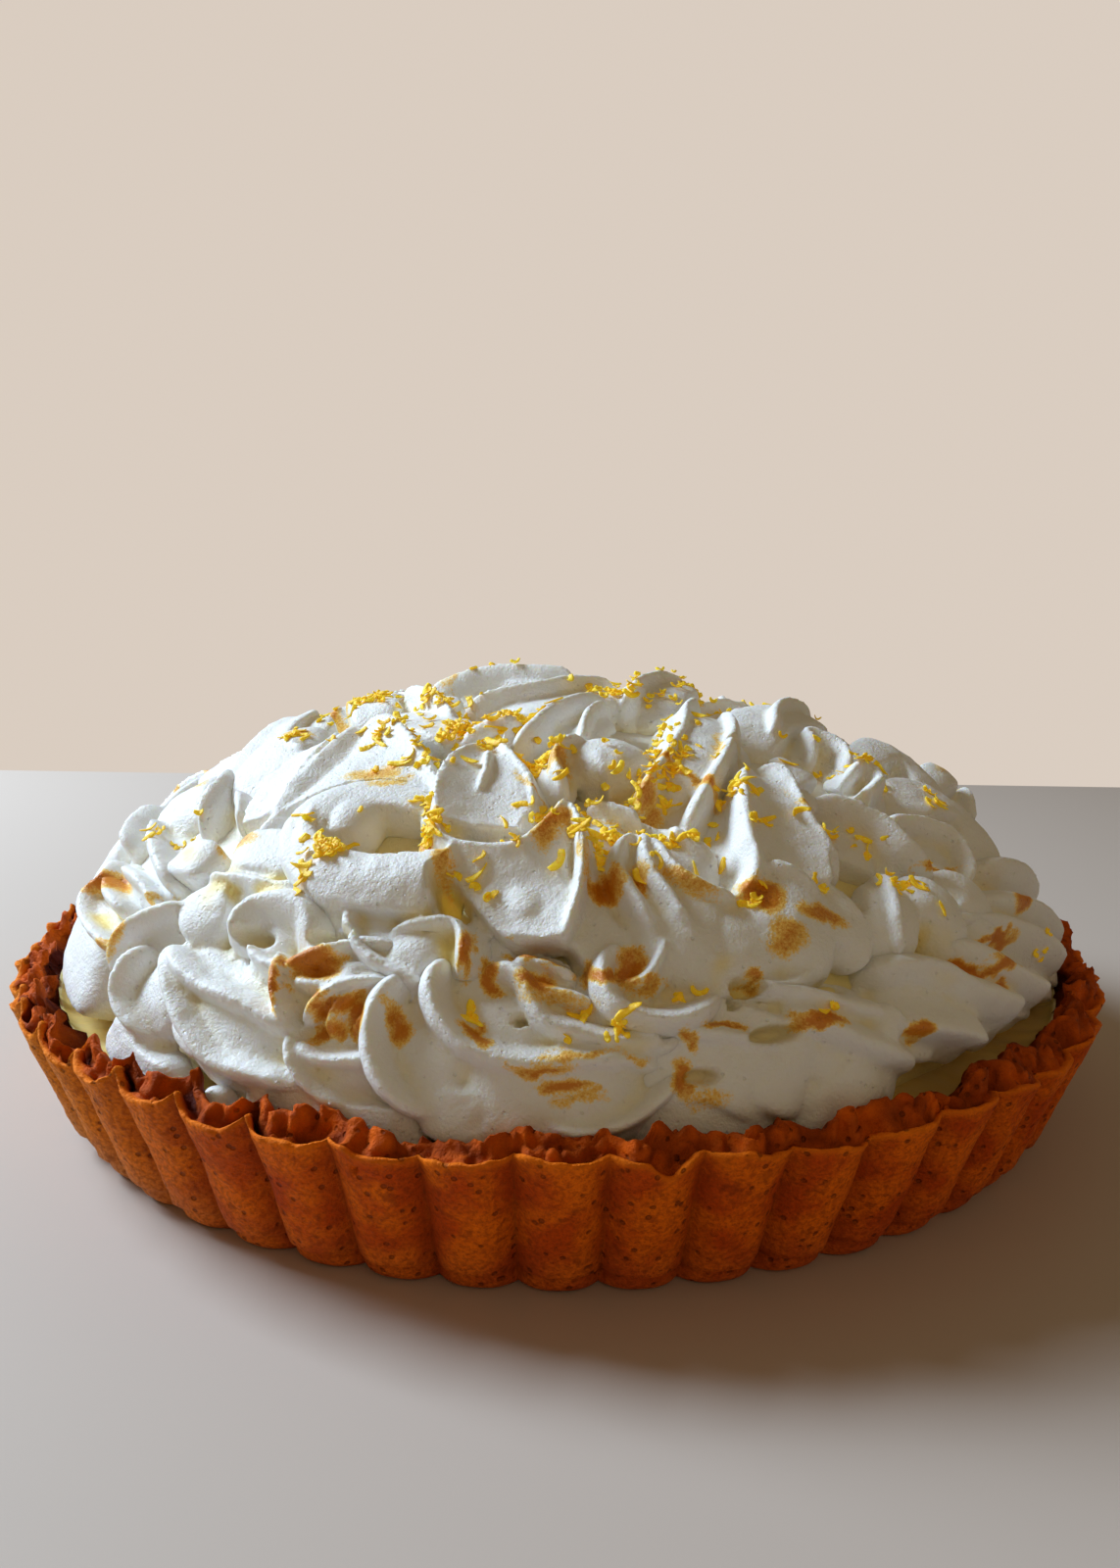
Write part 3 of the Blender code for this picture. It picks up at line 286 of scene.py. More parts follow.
# The torn pastry is lumpy and crumbly, and the tin's side has only slight hollows and small blisters
push = torn * MM * (1.7 * (lumps(points, 5.5 * MM, 12) - 0.5) + 1.2 * (lumps(points, 2.5 * MM, 13) - 0.5)
                    + 0.6 * clouds(points, 1.3 * MM, 18))
side_push = torn * MM * rough(points, (1.5, 4.5, 14), (0.9, 1.9, 19))
wall = ramp(height, 0, FOOT_ROUND) * (1 - torn) * (radius > 0.8 * RIM)
push = push + wall * MM * rough(points, (0.35, 9, 15), (0.20, 2.6, 16), (0.12, 1.1, 22))
top_free = torn * ramp(height, 0.8 * EDGE_HEIGHT, EDGE_HEIGHT)
points = points + outward * (side_push * top_free + push * wall + 0.35 * push * top_free)[..., None]
points[..., 2] += push * top_free
tangent = np.stack([np.cos(turn), np.sin(turn), 0 * turn], -1)
points = points + tangent * (top_free * MM * 0.9 * clouds(points, 2.7 * MM, 17))[..., None]
# Burst bubbles in the wall: degrees round, height in mm and width in mm
PITS = ((6.6, 24.8, 2.6), (-1.4, 11.5, 1.1), (3.2, 22, 1.0), (13.8, 21.5, 1.2), (20, 20, 1.2),
        (-8.6, 18.5, 1.0), (24.2, 16, 1.3), (-14, 27, 1.2), (-22, 12, 1.0), (31, 24, 1.2))
PIT_DEPTH = 1.3 * MM
pits = 0 * height
for around, up, wide in PITS:
    middle = outward[np.abs(turn - math.radians(around % 360)).argmin()]
    middle = middle * (BASE_RADIUS + (RIM - BASE_RADIUS) * up * MM / EDGE_HEIGHT)
    middle = middle + np.array([0, 0, up * MM])
    near = np.linalg.norm((points - middle) * np.array([1, 0.4, 1]), axis=-1) / (wide * MM / 2)
    pits = np.maximum(pits, ramp(1.25 - near, 0, 0.7) * wall)
points = points - outward * (PIT_DEPTH * pits)[..., None]

crust_mesh = turned_mesh("crust", points, 0, CRUST_FLOOR)
# How far into a flute's groove each point lies, for the painted shade in the grooves
groove = flute(turn) * wall
add_value(crust_mesh, "torn", np.append(torn.ravel(), (0, 0)))
add_value(crust_mesh, "groove", np.append(groove.ravel(), (0, 0)))
# Painted highlight: a band along the crisp top outer edge, which the material paints brighter
edge_light = (ramp(height, edge - 1.6 * MM, edge - 0.2 * MM)
              * ramp(radius, top_out - 1.6 * MM, top_out - 0.6 * MM))
add_value(crust_mesh, "edge", np.append(edge_light.ravel(), (0, 0)))
# Painted shade: the creases between lumps of torn pastry, where it dips below the edge, and the burst bubbles
# are painted dark
hollow = (torn * (1 - lumps(points, 5.5 * MM, 12)) * 0.5 + torn * (1 - lumps(points, 2.5 * MM, 13)) * 0.3
          + torn * ramp(edge - height, -0.5 * MM, 2.5 * MM))
add_value(crust_mesh, "hollow", np.append(np.clip(hollow + pits, 0, 1).ravel(), (0, 0)))


class Nodes:
    """Puts nodes into one material or node group and joins them up."""

    def __init__(self, tree):
        self.tree = tree

    def add(self, kind, settings=None, **inputs):
        """A node of that kind with its settings, and its inputs set or joined by name, spaces as _."""
        node = self.tree.nodes.new(kind)
        for name, value in (settings or {}).items():
            setattr(node, name, value)
        for name, value in inputs.items():
            sockets = [s for s in node.inputs if s.enabled and s.identifier.replace(" ", "_") == name]
            socket = sockets[0] if sockets else node.inputs[name.replace("_", " ")]
            if isinstance(value, bpy.types.NodeSocket):
                self.tree.links.new(value, socket)
            else:
                socket.default_value = value
        return node

    def mix(self, share, first, second):
        """The first colour where share is 0 and the second where it is 1."""
        node = self.add("ShaderNodeMix", {"data_type": "RGBA"}, Factor_Float=share, A_Color=first,
                        B_Color=second)
        return node.outputs["Result"]

    def tint(self, colour, mask, share, other):
        """The colour moved by that share of the way to another one where the mask is 1."""
        return self.mix(self.math("MULTIPLY", mask, share), colour, other)

    def math(self, what, first, second=0.5, clamp=False):
        """One sum on two numbers."""
        node = self.add("ShaderNodeMath", {"operation": what, "use_clamp": clamp})
        for socket, value in zip(node.inputs, (first, second)):
            if isinstance(value, bpy.types.NodeSocket):
                self.tree.links.new(value, socket)
            else:
                socket.default_value = value
        return node.outputs[0]

    def noise(self, size, where, detail=3.0, **settings):
        """Soft noise whose patches are about that size in metres, from 0 to 1."""
        node = self.add("ShaderNodeTexNoise", None, Vector=where, Scale=1 / size, Detail=detail, **settings)
        return node.outputs["Fac"]

    def step(self, value, low, high):
        """0 below low and 1 above high, smooth between them."""
        node = self.add("ShaderNodeMapRange", {"interpolation_type": "SMOOTHSTEP"}, Value=value)
        node.inputs["From Min"].default_value = low
        node.inputs["From Max"].default_value = high
        return node.outputs["Result"]

    def attribute(self, name):
        """A number that the mesh carries."""
        return self.add("ShaderNodeAttribute", {"attribute_name": name}).outputs["Fac"]

    def relief(self, shader, strength, height, pattern):
        """A fine relief from a pattern of 0 to 1, of that strength and that height in metres."""
        bump = self.add("ShaderNodeBump", None, Strength=strength, Distance=height, Height=pattern)
        self.tree.links.new(bump.outputs["Normal"], shader.inputs["Normal"])


def let_light_in(shader, share, each_colour, reach):
    """That share of the light soaks in and spreads by that reach in metres, times each colour's own."""
    shader.inputs["Subsurface Weight"].default_value = share
    shader.inputs["Subsurface Radius"].default_value = each_colour
    shader.inputs["Subsurface Scale"].default_value = reach


def new_group(name, inputs, outputs):
    """An empty node group with its named inputs (socket kind, first value) and outputs."""
    tree = bpy.data.node_groups.new(name, "ShaderNodeTree")
    for label, (kind, value) in inputs.items():
        socket = tree.interface.new_socket(label, in_out="INPUT", socket_type=kind)
        if value is not None:
            socket.default_value = value
    for label, kind in outputs.items():
        tree.interface.new_socket(label, in_out="OUTPUT", socket_type=kind)
    nodes = Nodes(tree)
    return nodes, tree.nodes.new("NodeGroupInput").outputs, tree.nodes.new("NodeGroupOutput").inputs


def new_material(name, roughness):
    """A material with its Principled BSDF, and the Object coordinates that its patterns use."""
    material = bpy.data.materials.new(name)
    material.use_nodes = True
    nodes = Nodes(material.node_tree)
    shader = material.node_tree.nodes["Principled BSDF"]
    shader.inputs["Roughness"].default_value = roughness
    return material, nodes, shader, nodes.add("ShaderNodeTexCoord").outputs["Object"]


# Crumb grain: fine light and dark specks and small pits, for baked pastry
grain, grain_in, grain_out = new_group(
    "pastry_grain", {"Vector": ("NodeSocketVector", None), "Size": ("NodeSocketFloat", 0.0008)},
    {"Speck": "NodeSocketFloat", "Pits": "NodeSocketFloat", "Height": "NodeSocketFloat"})
per_metre = grain.math("DIVIDE", 1.0, grain_in["Size"])
fine = grain.add("ShaderNodeTexNoise", None, Vector=grain_in["Vector"], Scale=per_metre, Detail=4.0,
                 Roughness=0.65)
grain.tree.links.new(grain.step(fine.outputs["Fac"], 0.35, 0.68), grain_out["Speck"])
cells = grain.add("ShaderNodeTexVoronoi", None, Vector=grain_in["Vector"],
                  Scale=grain.math("MULTIPLY", per_metre, 0.3))
pit = grain.step(cells.outputs["Distance"], 0.22, 0.10)
grain.tree.links.new(pit, grain_out["Pits"])
grain_height = grain.math("SUBTRACT", fine.outputs["Fac"], grain.math("MULTIPLY", pit, 0.9))
grain.tree.links.new(grain_height, grain_out["Height"])

baked, nodes, shader, where = new_material("baked_crust", 0.62)
crumb = nodes.add("ShaderNodeGroup", {"node_tree": grain.tree}, Vector=where, Size=0.0009)
GOLD = (1.0, 0.190, 0.001, 1)
TAN = (0.68, 0.080, 0.001, 1)
TORN_BROWN = (0.44, 0.048, 0.001, 1)
broad = nodes.noise(9 * MM, where)
colour = nodes.mix(nodes.step(broad, 0.35, 0.65), GOLD, TAN)
# Painted light: the left side, which the window lights, is painted paler. The foot is browned less all round,
# and painted paler still on that lit side.
along = nodes.add("ShaderNodeSeparateXYZ", None, Vector=where).outputs
window_lit_side = nodes.step(along["X"], -45 * MM, -130 * MM)
colour = nodes.tint(colour, window_lit_side, 0.8, (1.0, 0.40, 0.030, 1))
low_down = nodes.math("MULTIPLY", nodes.step(along["Z"], 15 * MM, 2 * MM),
                      nodes.math("ADD", window_lit_side, 0.2, True))
colour = nodes.tint(colour, low_down, 0.6, (0.66, 0.33, 0.12, 1))
# Painted shade: the flute grooves are darkened
colour = nodes.tint(colour, nodes.attribute("groove"), 0.5, (0.20, 0.03, 0.002, 1))
colour = nodes.tint(colour, crumb.outputs["Speck"], 0.58, (0.27, 0.038, 0.002, 1))
blotch = nodes.step(nodes.noise(2.6 * MM, where, 2.0), 0.60, 0.72)
colour = nodes.tint(colour, blotch, 0.4, (0.17, 0.022, 0.001, 1))
torn_colour = nodes.mix(nodes.noise(3.0 * MM, where), TORN_BROWN, (0.98, 0.175, 0.001, 1))
# Painted shade in the hollows of the torn pastry and in the burst bubbles
torn_colour = nodes.mix(nodes.attribute("hollow"), torn_colour, (0.08, 0.007, 0.001, 1))
colour = nodes.mix(nodes.step(nodes.attribute("torn"), 0.3, 0.75), colour, torn_colour)
# Painted highlight on the crisp outer edge
colour = nodes.tint(colour, nodes.attribute("edge"), 0.55, (1.0, 0.24, 0.005, 1))
# Painted shade in the crumb's small pits
colour = nodes.tint(colour, crumb.outputs["Pits"], 0.55, (0.10, 0.02, 0.004, 1))
baked.node_tree.links.new(colour, shader.inputs["Base Color"])
shader.inputs["Specular IOR Level"].default_value = 0.10
nodes.relief(shader, 0.9, 0.8 * MM, crumb.outputs["Height"])
crust = place("fluted_crust", crust_mesh)
crust.data.materials.append(baked)
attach(crust, "root")
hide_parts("crust")


# ------------------------------------------------------------------------------
# Lemon curd: a smooth set custard poured into the baked case. It shows at the sides, between the meringue
# and the pastry, pale and glossy, where it climbs the pastry a little and has soft lumps.
curd_low, curd_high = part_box("lemon_curd")
CURD_RADIUS = (curd_high.x - curd_low.x) / 2
CURD_AROUND = 720
# Its first rings are its underside, a little smaller than its top and just clear of the crust
UNDER_RINGS = 3
CURD_TAPER, CURD_CLEAR, CURD_SUNK = 5 * MM, 0.5 * MM, 2.0 * MM
CLIMB, CLIMB_REACH = 2.2 * MM, 1.6 * MM
curd_turn = np.linspace(0, 2 * np.pi, CURD_AROUND, endpoint=False)
curd_out = np.stack([np.sin(curd_turn), -np.cos(curd_turn), 0 * curd_turn], -1)
radii = np.concatenate([[0.03, 0.5, 0.96], np.linspace(1, 0.75, 34), [0.6, 0.35, 0.03]]) * CURD_RADIUS
radii[:UNDER_RINGS] -= CURD_TAPER * np.array([0, 0.5, 1])
levels = np.full(len(radii), curd_high.z)
levels[:UNDER_RINGS] = curd_low.z + CURD_CLEAR
levels[UNDER_RINGS:] += CLIMB * np.exp(-(CURD_RADIUS - radii[UNDER_RINGS:]) / CLIMB_REACH) - CURD_SUNK
curd_points = curd_out * radii[:, None, None] + np.array([0, 0, 1.0]) * levels[:, None, None]
top = np.arange(len(radii)) >= UNDER_RINGS
curd_points[..., 2] += top[:, None] * MM * rough(curd_points, (0.5, 11, 21), (0.25, 3, 22))
curd_mesh = turned_mesh("curd", curd_points, levels[0], levels[-1])
custard, nodes, shader, where = new_material("lemon_custard", 0.22)
colour = nodes.mix(nodes.noise(7 * MM, where), (0.84, 0.56, 0.14, 1), (0.82, 0.66, 0.33, 1))
custard.node_tree.links.new(colour, shader.inputs["Base Color"])
let_light_in(shader, 0.4, (1.0, 0.75, 0.25), 4 * MM)
nodes.relief(shader, 0.3, 0.5 * MM, nodes.noise(2.5 * MM, where))
curd = place("lemon_curd_fill", curd_mesh)
curd.data.materials.append(custard)
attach(curd, "root")
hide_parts("lemon_curd")


# ------------------------------------------------------------------------------
# Meringue: egg whites whipped with hot syrup, piped over the curd from a wide star nozzle in short pulled
# strokes, then torched. Each stroke is a star-shaped rope laid over a dome, and the strokes of one part of
# the mound run together where they touch.
meringue_low, meringue_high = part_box("meringue")
MOUND_RADIUS = 0.942 * RIM
MOUND_FOOT = 22 * MM
MOUND_RISE = 75 * MM
MOUND_POWER = 2.1
STROKE_STEPS = 56
STROKE_SIDES = 72
CORE_DEPTH, FOOT_DEPTH = 7.0, 8
MERINGUE_GRAIN = 0.72 * MM
BACK_GRAIN = 1.25 * MERINGUE_GRAIN
STROKES = {}
now = []


def part_of_mound(name):
    """The strokes that follow belong to this part of the mound, which is made as one body."""
    global now
    now = STROKES.setdefault(name, [])


def rope(route, wide, **form):
    """A stroke by its route (degrees round, degrees up, mm proud of the dome) and its half width in mm."""
    now.append((route, wide, form))


def crest(route, wide, **form):
    """A stroke whose three ridges leave one sharp crest with a hollow face on each side."""
    rope(route, wide, **{"ridges": 3, "depth": 0.58, **form})


def petal(rim, foot, belly, thick=8):
    """A face that runs from a sharp rim to its foot, each given as a route. It bulges by belly mm halfway
    down, or is dished where belly is less than 0."""
    now.append((rim, thick, dict(foot=foot, belly=belly)))


def lobe(route, wide, **form):
    """A plump stroke with four faint ridges."""
    rope(route, wide, **{"ridges": 4, "depth": 0.24, "phase": 45, **form})


def feather(route, wide, phase=90, tail=.6):
    """A long stroke of three ridges that turns a little as it's pulled away."""
    rope(route, wide, ridges=3, depth=.42, phase=phase, twist=10, tail=tail)


# Lower tier, left
part_of_mound("front_left")
# the far swirl with its torched hollow
lobe([(-100, 11), (-86, 10.5), (-74, 9.5), (-62, 8.5), (-51, 8.5)], 12, tail=.8)
crest([(-66, 18.5, 0), (-62, 16.5, 1.5), (-63, 14.5, 2), (-60, 13, 2), (-54, 12.5, 1.5), (-49, 12, 0)], 5)
crest([(-61, 18.5, 0), (-53, 18.6, 1), (-47, 17.6, 0)], 5)
crest([(-41, 18.6, 0), (-44, 17.2, 1), (-47, 15, 1.5), (-48.5, 12.5, 1), (-47, 10, 0)], 6)
# the petal
crest([(-45, 13.8, 1), (-44.6, 11.2, 2), (-43.8, 9, 2), (-41.5, 7.4, 1.5), (-38.5, 6.2, 0)], 7.5)
lobe([(-44, 13, -1), (-41, 10.5, 0), (-39.5, 8, 0), (-38.5, 5.8, -1)], 9)
# the big blade
crest([(-40.4, 14.8, 1), (-37.5, 12.4, 2.5), (-34.5, 10, 3), (-31.5, 8, 3), (-28.5, 6.8, 2.5),
      (-24, 6.6, 2), (-19.5, 6, 0)], 8, thick=7)
crest([(-40.4, 14.8, 1), (-36, 13.1, 3), (-32.3, 12.2, 3), (-28, 11.8, 3), (-24.5, 11, 2),
      (-21, 10.2, 1)], 8, thick=7)
lobe([(-37, 12, 0), (-32, 10, 1), (-27, 9, 1), (-21, 7.6, 0)], 10.5, thick=8, depth=.3)
crest([(-25.5, 15.8, 1), (-24.4, 13.4, 3.5), (-22.6, 10.6, 2)], 4.5, thick=6)
# the skirt under the blade
lobe([(-46, 6.5, -1), (-42.5, 4.8, .5), (-38.5, 3.6, 1), (-34.5, 3, 0)], 5.5)
lobe([(-27, 4.8, 0), (-22, 3.8, .5), (-16, 3.4, .5), (-10, 3.6, 0)], 6.5)
# folds and the curl over the blade
lobe([(-42.5, 21.5, 0), (-39.5, 19, 1), (-36, 16, .5)], 8)
lobe([(-52, 22.4, 0), (-47, 22.8, 1.5), (-42.5, 23, 1)], 6.5)
lobe([(-41, 23.5, 1), (-37, 25.2, 2.5), (-32, 25.5, 2), (-28, 24, 0)], 7.5)
crest([(-42, 21.5, 0), (-36, 22, 1), (-30, 22, 1), (-27.5, 23.2, 0)], 5)
rope([(-30, 16.8, 0), (-32.4, 18, 1.5), (-31, 19.9, 2.5), (-28, 20.5, 3), (-25, 20, 2.5),
      (-23.4, 18.2, 1.5), (-22.2, 16.4, 0)], 5.6, ridges=3, depth=.3)
lobe([(-31, 18, -.5), (-25, 17.6, -.5)], 6)
crest([(-30, 16.8, 0), (-28.5, 15.6, 1), (-26, 15, 1.5), (-24.2, 15.7, 1)], 4)
crest([(-25, 14.9, 1), (-22.5, 16, 2.5), (-20, 17.3, 2.5), (-17, 18, 1.5), (-13.5, 18, 0)], 6)
crest([(-24.6, 14.4, 0), (-21, 14.2, 1), (-18.5, 15.3, 1), (-16.5, 17, .5)], 5)
crest([(-22, 15.4, 0), (-19, 16, .5), (-16, 16.2, .5), (-12, 16.4, 0)], 5)
# the lobe with the torched ring
crest([(-21.2, 11, 0), (-20.2, 12.9, 2), (-18.2, 14.4, 2.5), (-16, 14.9, 2), (-13.8, 15.2, 1)], 5)
crest([(-18.8, 10.4, 0), (-18.4, 12.6, 1.5), (-17, 14.2, 1.5)], 3.6)
crest([(-15.4, 14, .5), (-15.7, 12.5, 1), (-17, 11, .5)], 3.6)
lobe([(-19, 13, -1), (-18, 10, .5), (-16.5, 7.4, .5), (-13.5, 5, 0)], 10)
crest([(-22, 9.8, 1), (-19.5, 8.6, 1.5), (-16.5, 8.9, 1.5), (-13.8, 9.4, 1)], 5)
crest([(-22.8, 10.6, 1.5), (-21.2, 8, 2), (-19, 6.1, 1.5), (-16, 5, 0)], 6)

# The drop that hangs on the rim
part_of_mound("rim_drop")
lobe([(-29.4, 4.4, -1), (-29, 2.2, 1), (-28.7, .4, 1.6), (-28.6, -.6, 1.4)], 3.4, head=.6, depth=.1)

# Lower tier, middle
part_of_mound("front_middle")
crest([(-12.4, 16.4, 1.5), (-14.3, 14.5, 3), (-15, 12.5, 3.5), (-14.7, 10.3, 3.5), (-13.6, 8.2, 3.5),
      (-11.6, 6.4, 3), (-8.6, 5.2, 1.5)], 9, thick=8)
lobe([(-12, 14.5, 0), (-12.3, 11.5, 0), (-11, 9, 1), (-8.5, 7.2, 1.5), (-5, 6.4, 1)], 9)
crest([(-10, 17.2, 2), (-10.5, 15.3, 3.5), (-9.9, 13.5, 4), (-8.6, 12, 4), (-6.8, 10.6, 3.5),
      (-4, 9.9, 3), (-1, 9.7, 3), (2.5, 10, 3), (6, 10, 2.5), (9, 9, 1)], 9, thick=8, tail=1.6)
lobe([(-9, 7.5, 1), (-4, 7, 2), (1, 7, 2.5), (5, 7.4, 2), (9.2, 8.6, 0)], 9, thick=8, tail=2, tip=.6)
crest([(-1.6, 5.6, 1.5), (2, 4.9, 2.5), (5.5, 5.6, 2.5), (8, 7.1, 1.5), (9.5, 8.6, 0)], 6)
lobe([(-11, 6, 1), (-7, 5.5, 1.5), (-3, 5.5, 1)], 6.5)
crest([(-6.8, 16.9, 1), (-4.2, 16.7, 2), (-2.8, 15.8, 2.5), (-2.1, 14.4, 2.5), (-1.1, 13, 2.5),
      (.5, 12.3, 2.5), (3.5, 11.6, 2), (6.5, 11.2, 1.5), (9.8, 11, 1)], 7)
crest([(10.1, 11.4, 1.5), (8.2, 10.8, 1), (7.6, 11.9, 1), (5, 12.2, 0)], 3.5)
lobe([(-7, 15.5, 0), (-5.5, 13, 0), (-3.5, 11.2, .5), (1.5, 10.6, 0)], 8, thick=6)
lobe([(-11, 15.6, -1.5), (-7, 16, -1), (-2.5, 15.6, -1.5)], 6.5)
lobe([(-15, 18.5, -1.5), (-9, 18.4, -2), (-3, 18.6, -1.5)], 6.5)
crest([(-3.9, 18, 0), (-1, 17.3, .8), (1.8, 16.3, 0)], 3.6)
crest([(-3.6, 15.9, 1), (0, 15, 1), (3.5, 14.2, 0)], 5)

# Lower tier, right
part_of_mound("front_right")
lobe([(6, 9, -1), (9, 9.4, .5), (12.5, 9.3, 1.5), (15.6, 7.8, 2), (18.6, 5.2, .5)], 9, thick=8)
lobe([(5.5, 5.2, 0), (10, 5.2, .5), (14, 4.8, .5), (18.5, 4.4, 0)], 8)
crest([(7.2, 13.1, 1), (10, 12.1, 1.5), (14, 11.4, 2), (17, 10.8, 2), (20.5, 10.2, 1.5)], 9)
lobe([(9, 12, 0), (14, 10.6, 1.5), (18.5, 8.6, 2), (22.3, 5.6, 1.5)], 11, thick=9)
lobe([(19.4, 4.6, 0), (22.6, 4.8, 1), (25.4, 6.4, 1.5), (27.8, 8.2, 0)], 6.5)
crest([(15.6, 15.1, 1), (18.5, 14.8, 2), (22, 13.8, 2.5), (26, 12.4, 2), (31, 11.2, 1)], 7)
crest([(19.2, 13.2, 2), (22, 11.8, 2.5), (25, 10.2, 2.5), (28.5, 8.6, 2), (33, 6.4, 1)], 8.5, depth=.4)
lobe([(18, 12.4, 0), (22, 10.4, 1), (27, 7.6, 1), (31.4, 5, 0)], 9)
lobe([(28.6, 11, 1.5), (29.6, 10.2, 3), (30.5, 9.2, 2.5)], 5.5)
rope([(29.6, 11.4, 1), (34, 10.4, 2.5), (38, 9.2, 2.5),
      (42, 7.6, 1.5)], 7.5, ridges=4, depth=.32, phase=70, tail=.6)
lobe([(27, 9.4, -2), (32, 9.2, -2), (37, 8, -2)], 6, tail=.8)
feather([(29.6, 15.2, 1), (33.5, 14.6, 2.5), (37, 13.4, 3), (40.4, 11.4, 3), (44.6, 9.4, 3),
         (49.4, 7.4, 2)], 9)
lobe([(36, 11, -2), (42, 9.4, -2), (46.4, 7.8, -2)], 6.5, tail=.8)
crest([(31.5, 15, 2), (36, 14.2, 3.5), (39.6, 12.2, 3.5), (43, 9.4, 2)], 5)
feather([(38.6, 16.6, 0), (43, 14.6, 2.5), (47, 12.2, 3), (51, 9.8, 3), (56.4, 7.2, 2)], 9, phase=85)
lobe([(48, 9.6, -2), (53, 8, -2), (57, 6.8, -2)], 6)
feather([(44, 17.8, 0), (50, 15.8, 2.5), (57, 13, 3), (63, 9.8, 3), (69, 6.6, 2)], 9)
lobe([(56, 10, -2), (63, 7.4, -1.5), (69, 5, -1)], 7, tail=.8)
feather([(51, 18.6, 0), (60, 16, 2.5), (68, 12.4, 3), (74, 8.6, 3), (80, 5, 1.5)], 9.5, phase=85, tail=.7)
lobe([(68, 7.5, 0), (78, 4.6, 1), (86, 4, 0)], 8.5)
feather([(63, 20.5, 0), (73, 16.5, 2.5), (82, 11.5, 3), (91, 6, 1.5)], 10, tail=.8)

# Second tier
part_of_mound("second_tier")
# the shell with three crests and a curl below
crest([(9.7, 30.2, 2), (7, 28.2, 3.5), (5.9, 25.8, 4), (6.6, 23.6, 4.5), (7.8, 21.3, 4.5),
      (9, 18.6, 4)], 6.5)
crest([(10, 30.4, 2.5), (9.2, 27, 4), (9.4, 24.4, 5), (10.7, 21.8, 5), (12.2, 19.2, 4.5)], 5.5)
crest([(10.3, 30.2, 2.5), (11.2, 26.6, 4), (12.6, 24.2, 4.5), (15, 22.8, 4), (18.4, 22, 2.5)], 7)
lobe([(10, 29, 0), (10.5, 25, 2), (11.6, 21, 3.8), (12.2, 17.4, 4),
      (11, 14.4, 2.5)], 13.5, thick=13, depth=.1)
lobe([(3, 25.6, 0), (2.2, 23.2, 1), (2.8, 20.6, 1.5), (5, 18.2, 1.5), (7.2, 16.4, 1)], 6.5)
crest([(6.6, 18.4, 1), (4.4, 17.6, 2.5), (3.8, 15.9, 4), (4.8, 13.9, 4.5), (7.5, 12.8, 4.5),
      (11, 12.9, 4.5), (14, 14.4, 2.5)], 7.5)
crest([(5.5, 15.4, 2), (7.3, 15.7, 4), (8.7, 17.2, 4), (9.6, 19, 3)], 4)
# the peak of two limbs with a broad foot
crest([(32, 39.4, 3), (27.4, 36.4, 5), (23.8, 32, 5.5), (21.8, 28, 5), (21, 25, 4.5), (19.4, 23.2, 3.5),
      (17.6, 22.2, 2)], 8.5)
crest([(32, 39.4, 3), (35.4, 37.2, 4.5), (33.6, 33.4, 4.5), (31.8, 30, 4.5), (31.4, 26.6, 4),
      (31.2, 23.4, 2.5)], 8.5)
petal([(31.6, 39, 2.5), (27.6, 36.2, 4.6), (24, 32, 5), (22, 28, 4.6), (20.6, 24, 3.6)],
      [(34.4, 37.4, 3.6), (33.4, 33.4, 4), (31.8, 30, 4), (31, 26.6, 3.4), (29, 22.6, 3)], -1.8, 10)
lobe([(26.4, 27, 1), (25, 23.6, 3.6), (22.4, 20, 4.6), (20.4, 17.4, 4),
      (19.4, 15.8, 2.5)], 13, thick=12, depth=.08)
crest([(20.8, 25.2, 3.5), (23.4, 24.4, 4.5), (25.6, 22.6, 4), (27, 19.8, 3)], 7)
lobe([(17.8, 22.4, 3), (17.8, 19.8, 4), (17.4, 17, 3.5), (17, 15.4, 1.5)], 7.5)
lobe([(25.6, 23.6, 2), (27.6, 20.8, 3.5), (28.4, 18.2, 3), (27, 16.6, 1)], 8)
crest([(14.8, 15.4, 1), (18.5, 14.8, 2), (21.6, 15, 2), (24.4, 17, 1)], 6)
# blunt fingers to its right
lobe([(36.6, 22.6, 2), (35.6, 20, 3.5), (33.7, 17.6, 3), (32.4, 15.2, 1.5)], 8, depth=.16)
crest([(36.6, 23, 2.5), (35.2, 20.6, 4), (33.7, 18, 4), (33, 15.6, 2)], 5)
lobe([(39.6, 22, 2), (41.2, 19.6, 4), (40.8, 17.2, 4), (38.4, 15.6, 2)], 8.5, depth=.14)
lobe([(45, 20.8, 1), (48.4, 19.2, 3), (48.2, 17, 3), (45, 15.6, 1)], 8, depth=.14)
lobe([(31, 23, 0), (30.5, 19.5, .5), (30, 16.8, 0)], 7)
# the leaf in the middle: its dish, rim, peak, right edge and front face
petal([(-14, 46.2, 2.5), (-17.2, 41.4, 4.5), (-17, 36.6, 5.5), (-15.6, 32.4, 6), (-14.2, 29.4, 6)],
      [(-11.6, 48.4, 2.5), (-8.6, 42.6, 2.5), (-6, 38, 2), (-4.5, 34, 1.5), (-4.5, 30.5, 2)], -1.8, 7)
crest([(-13.8, 46, 2), (-17, 41.4, 4), (-16.8, 36.6, 5), (-15.4, 32.4, 5.5), (-14, 29.2, 5.5),
      (-12.2, 27.2, 5.5), (-8.4, 26.6, 5.5), (-4.6, 26.8, 6), (-2.2, 28.2, 7), (-.4, 30, 7.5),
      (.8, 31.6, 8)], 5, tail=.5)
petal([(-14.6, 29.4, 5.5), (-12.2, 27.2, 5.8), (-8.4, 26.6, 5.8), (-4.6, 26.8, 6.3), (-2.2, 28.2, 7.2),
      (.6, 31.6, 8)],
      [(-11, 24.4, 1.5), (-9, 22.8, 1.2), (-7, 21, 1), (-5, 19.4, 1), (-2.4, 18.9, 2.2),
       (.6, 18.8, 4)], -1.2, 9)
